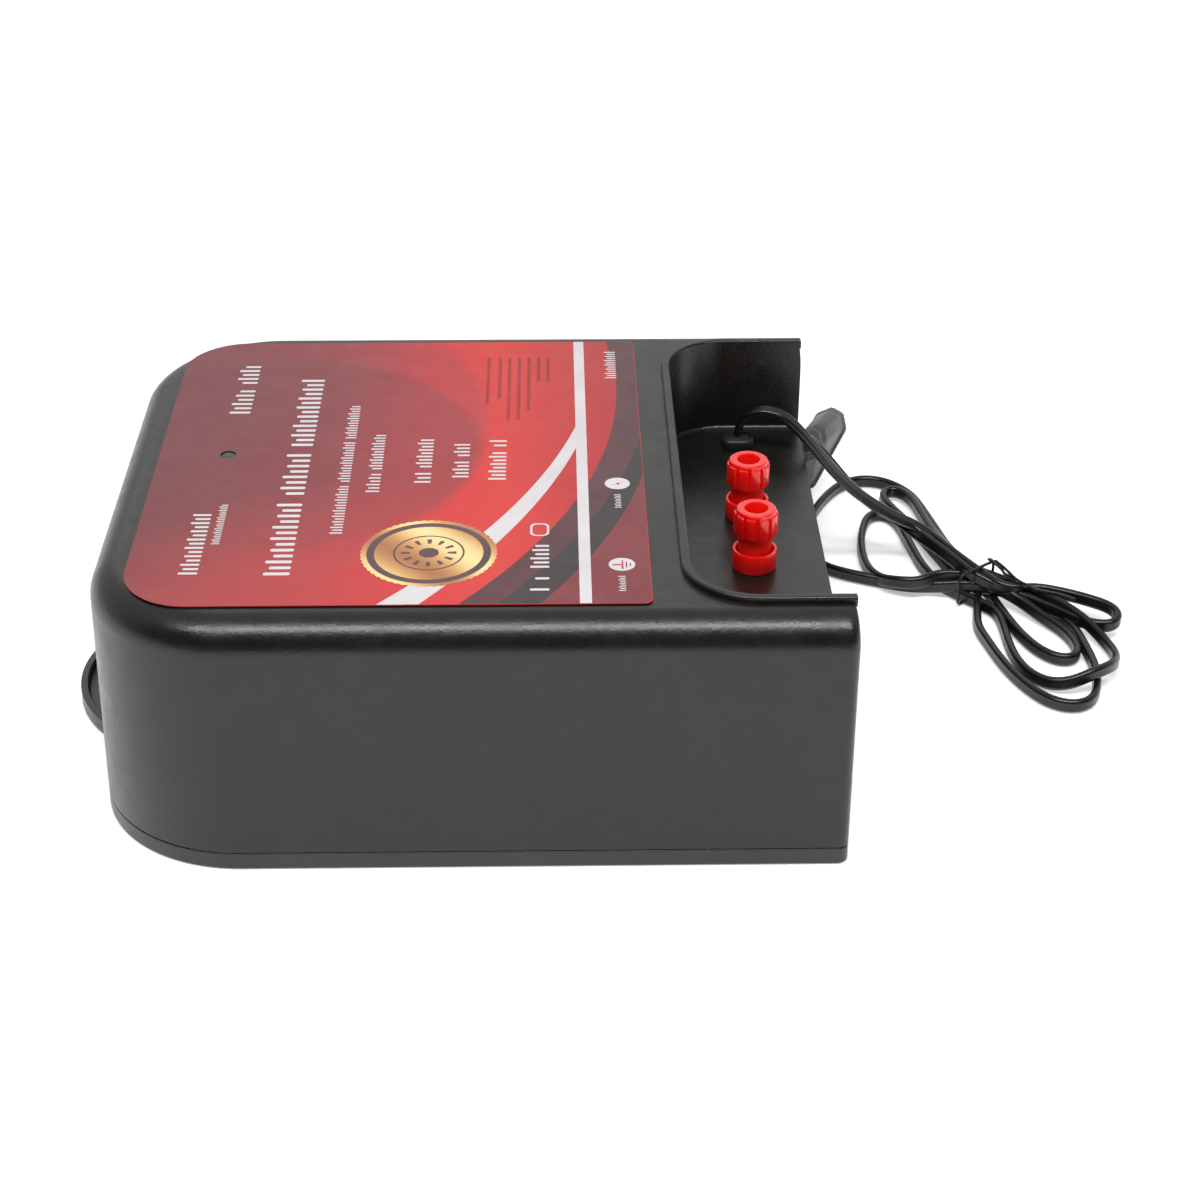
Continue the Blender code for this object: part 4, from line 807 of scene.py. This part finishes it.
def front_label():
    """The printed label. Places on it are in millimetres."""
    low_x, high_x = (label_low.x - middle_x) / mm, (label_high.x - middle_x) / mm
    lamp = (led_place[0] / mm, led_place[1] / mm)
    side = label_high.y / mm
    outline = rounded_outline(low_x, high_x, -side, side, 24, 3, 40, 8)
    window = circle(lamp, 2.8)
    bm = plates([millimetre_outline(outline), millimetre_outline(window)], label_low.z, label_high.z)
    film = link("label_plate", mesh_from("label_plate", bm), "label_film")
    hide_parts("front_label")
    inner, edge = side - 0.25, high_x - 0.25

    # Three sweeps of darker ink, each edge an arc that starts on the label's near side
    maroon_edge = sweep((-2, -inner), (46, -4), (51, inner))
    dark_edge = sweep((11, -inner), (43, -46), (edge, 18))
    brick_edge = sweep((25, -inner), (48, -59), (edge, -12))
    corner = 3
    far_corner = arc((edge - corner, inner - corner), corner, 90, 0, 6)
    near_corner = arc((edge - corner, corner - inner), corner, 0, -90, 6)
    print_layer("label_ink_maroon", [maroon_edge + far_corner + dark_edge[::-1]], 1)
    print_layer("label_ink_dark", [dark_edge + brick_edge[::-1]], 1)
    print_layer("label_ink_brick", [brick_edge + near_corner], 1)

    # White band across the label and the white sweep that runs into it
    band_low, band_high = 38, 42
    sweep_end = band_low + 0.4
    sweep_outer = sweep((-29, -inner), (16, -35), (sweep_end, 29))
    sweep_inner = sweep((sweep_end, 11), (18, -47), (-15, -inner))
    print_layer("label_sweep_white", [sweep_outer + sweep_inner], 2)
    band = [(band_low, -inner), (band_high, -inner), (band_high, inner), (band_low, inner)]
    print_layer("label_band_white", [band], 3)

    # Generic seal: a scalloped disc with plain rings
    seal = (-13, -70)
    scallops = []
    steps = 480
    for i in range(steps):
        turn = math.tau * i / steps
        radius = 22.9 + 0.5 * abs(math.sin(turn * 27))
        scallops.append((seal[0] + radius * math.cos(turn), seal[1] + radius * math.sin(turn)))
    print_layer("label_seal_gold", [scallops], 4)
    print_layer("label_seal_ring", [circle(seal, 21.2, 120), circle(seal, 18.6, 120)], 5)
    rays = []
    ray_count, near_radius, far_radius, half = 12, 6.4, 9.4, 0.55
    for number in range(ray_count):
        turn = math.tau * number / ray_count
        along = Vector((math.cos(turn), math.sin(turn)))
        across = Vector((-along.y, along.x))
        near, far = Vector(seal) + along * near_radius, Vector(seal) + along * far_radius
        corners = [
            near + across * half, near - across * half, far - across * half * 1.6, far + across * half * 1.6,
        ]
        rays.append([tuple(corner) for corner in corners])
    rings = [circle(seal, 3.4), circle(seal, 12.2, 120), circle(seal, 11.5, 120)]
    print_layer("label_seal_rays", [*rays, *rings], 5)

    # Lines of print, left as plain strokes
    white = []
    for line in (
        (-93, -85, 40, 83, (5, 4)),
        (-96.5, -90, -84, -41, (7,)),
        (-88, -85, -63, -34, (7,)),
        (-68, -59, -85, 70, (8, 5, 9)),
        (-48, -43.5, -56, 46, (9, 8, 7)),
        (-37.5, -32.5, -25, 21, (4, 8)),
        (-20.5, -14.5, -18, 17, (2, 6)),
        (-7, -1, -14, 13, (3, 2.4)),
        (6, 12.5, -16, 16, (6, 1.4)),
        (21.5, 28, -81, -65, (1,)),
        (21.5, 28, -97, -87, (1, 1)),
        (50, 54.5, 70, 95, (1,)),
        (51, 53.5, -38, -28, (1,)),
        (51, 53.5, -97, -87, (1,)),
    ):
        white += words(*line)
    white += [circle((52.5, -19.5), 4.5), circle((52.5, -79), 4.5)]
    frame_outer = bar(21.4, 28.0, -58.6, -49.4)
    frame_inner = bar(22.2, 27.2, -57.8, -50.2)
    print_layer("label_print_white", [*white, frame_outer, frame_inner], 5)
    dark = []
    for x, y0, parts in [
        (4.4, 47.6, (3, 2, 4)), (8.9, 52, (2, 6)), (12.6, 33.2, (3, 2, 5, 2)), (16.4, 33.2, (2, 4, 2, 4)),
        (20.2, 41.8, (3, 5, 2)), (24, 67.8, (3,)), (27.6, 67.8, (4,)),
    ]:
        dark += words(x - 0.75, x + 0.75, y0, 90, parts)
    print_layer("label_print_dark", dark, 3)
    print_layer("label_lamp_ring", [circle(lamp, 3.75), circle(lamp, 2.85)], 2)
    bolt = [(49.6, -20.6), (53.4, -20.0), (52.9, -18.9), (55.8, -18.4), (52, -19.4), (52.5, -20.4)]
    ground = [
        bar(49.3, 52.6, -79.6, -78.8), bar(52.4, 53.0, -82.2, -76.2), bar(53.8, 54.3, -81.2, -77.2),
        bar(55.1, 55.6, -80.2, -78.2),
    ]
    print_layer("label_symbol_red", [bolt, *ground], 6)
    return film


def status_led():
    """A domed lens that stands in the label's window, over its flange."""
    under = case_height - wall - gap
    rim_level = case_height + 0.36 * mm
    dome = [(0.3, 0.22), (1, 0.19), (1.7, 0.1), (2.3, -0.05), (2.5, -0.2)]
    profile = [(radius * mm, rim_level + height * mm) for radius, height in dome]
    flange = under - 1.2 * mm
    profile += [(2.5 * mm, under), (3.1 * mm, under), (3.1 * mm, flange), (0.3 * mm, flange)]
    bm = spun(profile, led_place, 64, closed=False)
    lens = link("indicator_lens", mesh_from("indicator_lens", bm, 45), "led_grey")
    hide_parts("status_led")


front_label()
status_led()


# ---- materials

def linear(red, green, blue):
    """A display colour from 0 to 255, as the shader's linear one."""
    shares = [value / 255 for value in (red, green, blue)]
    return (*[c / 12.92 if c <= 0.04045 else ((c + 0.055) / 1.055) ** 2.4 for c in shares], 1)


class Finish:
    """A material built from noise in the object's own coordinates."""

    def __init__(self, name, roughness=0.5, metallic=0.0, **sockets):
        self.material = bpy.data.materials.new(name)
        self.material.use_nodes = True
        self.tree = self.material.node_tree
        self.shader = self.tree.nodes["Principled BSDF"]
        for socket, value in {"Roughness": roughness, "Metallic": metallic, **sockets}.items():
            self.shader.inputs[socket.replace("_", " ")].default_value = value
        self.place = self.node("ShaderNodeTexCoord").outputs["Object"]
        self.bump = None

    def node(self, kind, values=None, **settings):
        node = self.tree.nodes.new(kind)
        for key, value in settings.items():
            setattr(node, key, value)
        for socket, value in (values or {}).items():
            node.inputs[socket].default_value = value
        return node

    def wire(self, a, b):
        self.tree.links.new(a, b)

    def noise(self, scale, detail=3, roughness=0.6, distortion=0.0, stretch=None):
        node = self.node("ShaderNodeTexNoise", {
            "Scale": scale, "Detail": detail, "Roughness": roughness, "Distortion": distortion,
        })
        source = self.place
        if stretch:
            mapping = self.node("ShaderNodeMapping", {"Scale": stretch})
            self.wire(source, mapping.inputs["Vector"])
            source = mapping.outputs["Vector"]
        self.wire(source, node.inputs["Vector"])
        return node.outputs["Fac"]

    def ramp(self, factor, stops):
        node = self.node("ShaderNodeValToRGB")
        ramp = node.color_ramp
        while len(ramp.elements) < len(stops):
            ramp.elements.new(0.5)
        for element, (place, colour) in zip(ramp.elements, stops):
            element.position = place
            element.color = colour
        self.wire(factor, node.inputs["Fac"])
        return node.outputs["Color"]

    def spread(self, factor, low, high, start=0.3, end=0.7):
        limits = {"From Min": start, "From Max": end, "To Min": low, "To Max": high}
        node = self.node("ShaderNodeMapRange", limits)
        self.wire(factor, node.inputs["Value"])
        return node.outputs["Result"]

    def mix(self, factor, a, b, blend="MIX"):
        node = self.node("ShaderNodeMix", data_type="RGBA", blend_type=blend)
        for socket, value in (("Factor", factor), ("A", a), ("B", b)):
            target = [i for i in node.inputs if i.name == socket and i.enabled][0]
            if hasattr(value, "is_output"):
                self.wire(value, target)
            else:
                target.default_value = value
        return [o for o in node.outputs if o.enabled][0]

    def colour(self, source):
        self.wire(source, self.shader.inputs["Base Color"])

    def rough(self, source):
        self.wire(source, self.shader.inputs["Roughness"])

    def mottle(self, scale, dark, light, detail=5, grit=0.6, low=0.3, high=0.7):
        """Patches of two close display colours."""
        return self.ramp(self.noise(scale, detail, grit), [(low, linear(*dark)), (high, linear(*light))])

    def gloss(self, scale, low, high, detail=4, grit=0.7):
        """A surface that is shinier in some patches than in others."""
        self.rough(self.spread(self.noise(scale, detail, grit), low, high))

    def raise_by(self, height, distance, strength=1.0):
        node = self.node("ShaderNodeBump", {"Distance": distance, "Strength": strength})
        self.wire(height, node.inputs["Height"])
        if self.bump:
            self.wire(self.bump, node.inputs["Normal"])
        self.bump = node.outputs["Normal"]
        self.wire(self.bump, self.shader.inputs["Normal"])


def moulded(name, dark, light, roughness, grain=1500, depth=0.03 * mm, scuffs=0.0, spread=0.06, **sockets):
    """Moulded plastic or rubber: mottled colour, uneven gloss, fine grain and a few scuffs."""
    finish = Finish(name, roughness, **sockets)
    base = finish.mottle(38, dark, light, 5, 0.65, 0.32, 0.68)
    if scuffs:
        marks = finish.noise(55, 8, 0.75, 1.2, stretch=(0.35, 1, 1))
        mask = finish.spread(marks, 0, scuffs, 0.62, 0.78)
        base = finish.mix(mask, base, linear(150, 148, 142))
    finish.colour(base)
    finish.gloss(120, roughness - spread, roughness + spread, 5)
    finish.raise_by(finish.noise(grain, 3, 0.7), depth, 0.8)
    finish.raise_by(finish.noise(9, 2, 0.5), 0.25 * mm, 0.35)
    return finish.material


def metal(name, dark, light, roughness, brushed=(1, 1, 14), grain=900):
    """Turned or plated metal: fine lines, patches of tarnish and uneven gloss."""
    finish = Finish(name, roughness, 1.0)
    finish.colour(finish.mottle(160, dark, light, 6, 0.7, high=0.6))
    lines = finish.noise(grain, 4, 0.6, stretch=brushed)
    finish.rough(finish.spread(lines, roughness - 0.07, roughness + 0.12))
    finish.raise_by(lines, 0.01 * mm, 0.5)
    return finish.material


def label_film():
    """Printed film: mauve on the left, bright red in the middle, broad soft arcs, satin face."""
    finish = Finish("label_film_red", 0.34, Specular_IOR_Level=0.36)
    split = finish.node("ShaderNodeSeparateXYZ")
    finish.wire(finish.place, split.inputs["Vector"])
    across = finish.spread(split.outputs["X"], 0, 1, -0.118, 0.064)
    cloud = finish.noise(11, 3, 0.5)
    joined = finish.node("ShaderNodeMath", operation="MULTIPLY_ADD")
    finish.wire(cloud, joined.inputs[0])
    joined.inputs[1].default_value = 0.16
    finish.wire(across, joined.inputs[2])
    base = finish.ramp(joined.outputs["Value"], [
        (0.05, linear(98, 42, 47)), (0.22, linear(112, 40, 45)), (0.42, linear(142, 38, 43)),
        (0.62, linear(198, 24, 28)), (0.78, linear(204, 38, 28)), (1.0, linear(172, 26, 31)),
    ])
    # Broad soft discs of another tone: place, radius, softness of the edge, colour and strength
    for x, y, radius, soft, tint, share in (
        (-0.075, 0.010, 0.078, 0.002, linear(96, 42, 48), 0.42),
        (-0.145, 0.030, 0.150, 0.003, linear(118, 46, 54), 0.34),
        (-0.030, -0.135, 0.092, 0.030, linear(206, 52, 50), 0.4),
    ):
        away = finish.node("ShaderNodeVectorMath", operation="DISTANCE")
        flat = finish.node("ShaderNodeCombineXYZ")
        finish.wire(split.outputs["X"], flat.inputs["X"])
        finish.wire(split.outputs["Y"], flat.inputs["Y"])
        finish.wire(flat.outputs["Vector"], away.inputs[0])
        away.inputs[1].default_value = (x, y, 0)
        mask = finish.spread(away.outputs["Value"], share, 0, radius - soft, radius + soft)
        base = finish.mix(mask, base, tint)
    dots = finish.noise(2600, 2, 0.5)
    base = finish.mix(finish.spread(dots, 0, 0.06, 0.35, 0.65), base, linear(226, 140, 140))
    finish.colour(base)
    finish.gloss(80, 0.28, 0.42, 5)
    finish.raise_by(finish.noise(1400, 2, 0.6), 0.008 * mm, 0.6)
    finish.raise_by(finish.noise(16, 2, 0.5), 0.12 * mm, 0.3)
    return finish.material


def ink(name, dark, light, roughness=0.36):
    """Printed ink: a satin layer with faint patches."""
    finish = Finish(name, roughness)
    finish.colour(finish.mottle(45, dark, light))
    finish.gloss(110, roughness - 0.07, roughness + 0.07)
    finish.raise_by(finish.noise(1400, 2, 0.6), 0.006 * mm, 0.5)
    return finish.material


def seal_gold():
    """Printed gold: bands of pale and deep gold across the disc."""
    finish = Finish("ink_gold", 0.3)
    bands = {"Scale": 14, "Distortion": 1.4, "Detail": 1}
    wave = finish.node("ShaderNodeTexWave", bands, wave_type="BANDS", bands_direction="DIAGONAL")
    finish.wire(finish.place, wave.inputs["Vector"])
    finish.colour(finish.ramp(wave.outputs["Fac"], [
        (0.0, linear(166, 104, 58)), (0.45, linear(206, 152, 86)), (1.0, linear(238, 214, 148)),
    ]))
    finish.gloss(110, 0.22, 0.36)
    finish.raise_by(finish.noise(1400, 2, 0.6), 0.006 * mm, 0.5)
    return finish.material


def terminal_plastic():
    """Glossy translucent red: light comes through thin walls, moulding haze on the surface, and a faint red
    emission as painted glow.
    """
    # The emission is painted glow: it stands in for light passing through the red plastic.
    finish = Finish(
        "terminal_plastic", 0.16, Subsurface_Weight=0.75, Subsurface_Scale=0.008, Coat_Weight=0.3,
        Coat_Roughness=0.1, IOR=1.48, Emission_Strength=0.05, Emission_Color=linear(214, 16, 10),
        Subsurface_Radius=(1.0, 0.12, 0.08),
    )
    finish.colour(finish.mottle(70, (222, 16, 12), (242, 30, 22)))
    finish.gloss(260, 0.11, 0.26, 5)
    finish.raise_by(finish.noise(700, 3, 0.6), 0.012 * mm, 0.5)
    finish.raise_by(finish.noise(60, 2, 0.5), 0.10 * mm, 0.4)
    return finish.material


def cord_sheath():
    """Black PVC with faint lengthwise flow marks and dusty patches."""
    return moulded("cord_sheath", (9, 9, 9), (18, 18, 18), 0.3, grain=1100, depth=0.02 * mm, scuffs=0.05)


def clear(name, tint, roughness):
    """Clear glass with a faint tint."""
    finish = Finish(name, roughness, Transmission_Weight=0.9, IOR=1.5)
    finish.colour(finish.mottle(200, tint, (255, 255, 255), 3))
    finish.gloss(300, roughness, roughness + 0.1, grit=0.6)
    return finish.material


def circuit_green():
    """Solder mask with copper tracks showing through as a lighter weave."""
    finish = Finish("circuit_green", 0.3)
    tracks = finish.node("ShaderNodeTexBrick", {"Scale": 90, "Mortar Size": 0.06})
    finish.wire(finish.place, tracks.inputs["Vector"])
    base = finish.mottle(70, (18, 70, 36), (28, 92, 48))
    finish.colour(finish.mix(finish.spread(tracks.outputs["Fac"], 0, 0.55, 0, 1), base, linear(60, 130, 66)))
    finish.gloss(200, 0.24, 0.4, grit=0.6)
    finish.raise_by(tracks.outputs["Fac"], 0.03 * mm, 0.6)
    return finish.material


def coiled(name, dark, light):
    """Layers of tape or wire wound round a bobbin."""
    finish = Finish(name, 0.4)
    bands = {"Scale": 180, "Distortion": 0.6}
    wave = finish.node("ShaderNodeTexWave", bands, wave_type="BANDS", bands_direction="X")
    finish.wire(finish.place, wave.inputs["Vector"])
    finish.colour(finish.ramp(wave.outputs["Fac"], [(0.2, linear(*dark)), (0.7, linear(*light))]))
    finish.gloss(150, 0.3, 0.5, grit=0.6)
    finish.raise_by(wave.outputs["Fac"], 0.12 * mm, 0.7)
    return finish.material


finishes = {
    "charcoal_abs": moulded("case_abs", (18, 18, 16), (25, 24, 21), 0.31, 640, 0.12 * mm, scuffs=0.03),
    "black_foam": moulded("gasket_foam", (20, 20, 20), (34, 34, 34), 0.85, 900, 0.2 * mm),
    "zinc_steel": metal("zinc_plate", (150, 150, 148), (200, 200, 196), 0.3),
    "led_grey": moulded("lamp_lens", (62, 57, 53), (86, 80, 74), 0.42, 400, 0.01 * mm),
    "terminal_red": terminal_plastic(),
    "brass": metal("brass", (150, 112, 52), (214, 176, 96), 0.26),
    "tinned_copper": metal("tinned_copper", (160, 158, 150), (214, 212, 204), 0.3),
    "black_rubber": moulded("bushing_rubber", (17, 17, 17), (28, 28, 28), 0.5, 1300, 0.03 * mm, scuffs=0.03),
    "cord_black": cord_sheath(),
    "tie_black": moulded("tie_black", (14, 14, 14), (26, 26, 26), 0.42, 1600, 0.02 * mm),
    # The plug's grey is its own colour made lighter still, as painted light where the lamps leave it dim.
    "plug_grey": moulded("plug_pvc", (78, 77, 74), (100, 98, 94), 0.46, 1200, 0.03 * mm, scuffs=0.05),
    "nickel": metal("nickel_pins", (160, 156, 148), (216, 212, 204), 0.2),
    "board_green": circuit_green(),
    "capacitor_blue": moulded("capacitor_sleeve", (22, 40, 96), (34, 56, 120), 0.26, 600, 0.02 * mm),
    "aluminium": metal("aluminium", (168, 170, 172), (216, 218, 220), 0.34, brushed=(1, 14, 1)),
    "black_epoxy": moulded("chip_epoxy", (20, 20, 21), (32, 32, 33), 0.5, 1600, 0.03 * mm),
    "clear_glass": clear("fuse_glass", (214, 228, 222), 0.04),
    "green_plastic": moulded("terminal_green", (30, 96, 52), (44, 120, 66), 0.4, 1100, 0.03 * mm),
    "capacitor_yellow": moulded("capacitor_box", (188, 150, 34), (214, 178, 56), 0.36, 900, 0.02 * mm),
    "cement_white": moulded("cement", (196, 194, 186), (222, 220, 212), 0.8, 700, 0.2 * mm),
    "varistor_blue": moulded("varistor_lacquer", (26, 70, 140), (40, 92, 168), 0.32, 420, 0.06 * mm),
    "laminated_steel": metal("core_laminations", (96, 94, 92), (150, 148, 144), 0.42, brushed=(1, 40, 1)),
    "nylon_white": moulded("bobbin_nylon", (206, 204, 194), (226, 224, 216), 0.42, 900, 0.03 * mm),
    "winding_tape": coiled("winding_tape", (176, 140, 44), (214, 184, 84)),
    "red_wire": moulded("red_wire", (150, 18, 18), (184, 28, 26), 0.38, 900, 0.02 * mm),
    "black_wire": moulded("black_wire", (16, 16, 16), (28, 28, 28), 0.38, 900, 0.02 * mm),
}

inks = {
    "label_plate": label_film(),
    "label_ink_maroon": ink("ink_maroon", (70, 32, 38), (88, 40, 46)),
    "label_ink_dark": ink("ink_dark", (40, 30, 31), (50, 36, 37)),
    "label_ink_brick": ink("ink_brick", (112, 34, 40), (126, 42, 46)),
    "label_sweep_white": ink("ink_white", (203, 198, 200), (214, 208, 210)),
    "label_seal_gold": seal_gold(),
    "label_seal_ring": ink("ink_bronze", (76, 50, 52), (92, 62, 62)),
    "label_print_dark": ink("ink_print_dark", (112, 34, 40), (124, 40, 44)),
    "label_symbol_red": ink("ink_symbol", (168, 34, 40), (190, 46, 50)),
}
own_finishes = {
    # The rear cover is the case's charcoal ABS made lighter. The extra lightness is painted reflection of the
    # white floor.
    "rear_shell": moulded("rear_abs", (36, 36, 33), (48, 47, 44), 0.33, 640, 0.12 * mm, scuffs=0.03),
}
inks["label_band_white"] = inks["label_print_white"] = inks["label_sweep_white"]
inks["label_seal_rays"] = inks["label_lamp_ring"] = inks["label_seal_ring"]
own_finishes.update(inks)

# A CAD node shown as it is has its slot in its material's name
for entry in frame["record"]["materials"]:
    slot = entry["slot"]
    for piece in bpy.data.objects:
        if piece.type != "MESH":
            continue
        named = piece.get("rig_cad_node") and any(
            material and material.name.split(".")[0] == slot for material in piece.data.materials
        )
        if named or piece.get("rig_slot") == slot:
            finish = own_finishes.get(piece.name) or finishes.get(slot)
            if finish:
                piece.data.materials.clear()
                piece.data.materials.append(finish)


# ---- floor and light

def floor():
    """A wide white floor under the back face."""
    bm = bmesh.new()
    bmesh.ops.create_grid(bm, x_segments=24, y_segments=24, size=20)
    piece = bpy.data.objects.new("floor", mesh_from("floor", bm))
    bpy.context.scene.collection.objects.link(piece)
    piece.location.z = -0.0002
    finish = Finish(
        "floor_white", 0.9, Emission_Strength=0.42, Specular_IOR_Level=0.1, Emission_Color=(1, 1, 1, 1),
    )
    finish.colour(finish.mottle(3, (240, 240, 240), (246, 246, 246), 4, 0.5))
    piece.data.materials.append(finish.material)


def area_light(name, place, target, size, power):
    light = bpy.data.lights.new(name, "AREA")
    light.shape = "RECTANGLE"
    light.size, light.size_y = size
    light.energy = power
    piece = bpy.data.objects.new(name, light)
    bpy.context.scene.collection.objects.link(piece)
    piece.location = place
    piece.rotation_euler = (Vector(target) - Vector(place)).to_track_quat("-Z", "Y").to_euler()


def sky():
    """Soft light all round, dim in front of the case and bright behind it."""
    world = bpy.data.worlds.new("studio")
    bpy.context.scene.world = world
    world.use_nodes = True
    nodes, links = world.node_tree.nodes, world.node_tree.links
    place = nodes.new("ShaderNodeTexCoord")
    split = nodes.new("ShaderNodeSeparateXYZ")
    ramp = nodes.new("ShaderNodeValToRGB")
    spread = nodes.new("ShaderNodeMapRange")
    links.new(place.outputs["Generated"], split.inputs["Vector"])
    links.new(split.outputs["Y"], spread.inputs["Value"])
    spread.inputs["From Min"].default_value = -1
    spread.inputs["From Max"].default_value = 1
    links.new(spread.outputs["Result"], ramp.inputs["Fac"])
    stops = [(0.0, 0.02), (0.34, 0.03), (0.5, 0.62), (0.75, 0.8), (1.0, 0.8)]
    while len(ramp.color_ramp.elements) < len(stops):
        ramp.color_ramp.elements.new(0.5)
    for element, (at, level) in zip(ramp.color_ramp.elements, stops):
        element.position = at
        element.color = (level, level, level, 1)
    background = nodes["Background"]
    links.new(ramp.outputs["Color"], background.inputs["Color"])
    background.inputs["Strength"].default_value = 0.75
    backdrop = nodes.new("ShaderNodeBackground")
    backdrop.inputs["Color"].default_value = (0.93, 0.93, 0.93, 1)
    path, choice = nodes.new("ShaderNodeLightPath"), nodes.new("ShaderNodeMixShader")
    links.new(path.outputs["Is Camera Ray"], choice.inputs[0])
    links.new(background.outputs["Background"], choice.inputs[1])
    links.new(backdrop.outputs["Background"], choice.inputs[2])
    links.new(choice.outputs["Shader"], nodes["World Output"].inputs["Surface"])


floor()
sky()
area_light("overhead", (0.03, -0.54, 1.3), (0.02, -0.08, 0.08), (1.5, 0.22), 20)
area_light("back", (0.0, 1.9, 1.2), (0.0, 0.0, 0.1), (2.4, 1.2), 4)
bpy.context.scene.view_settings.view_transform = "Standard"


# ---- last update

bpy.context.view_layer.update()
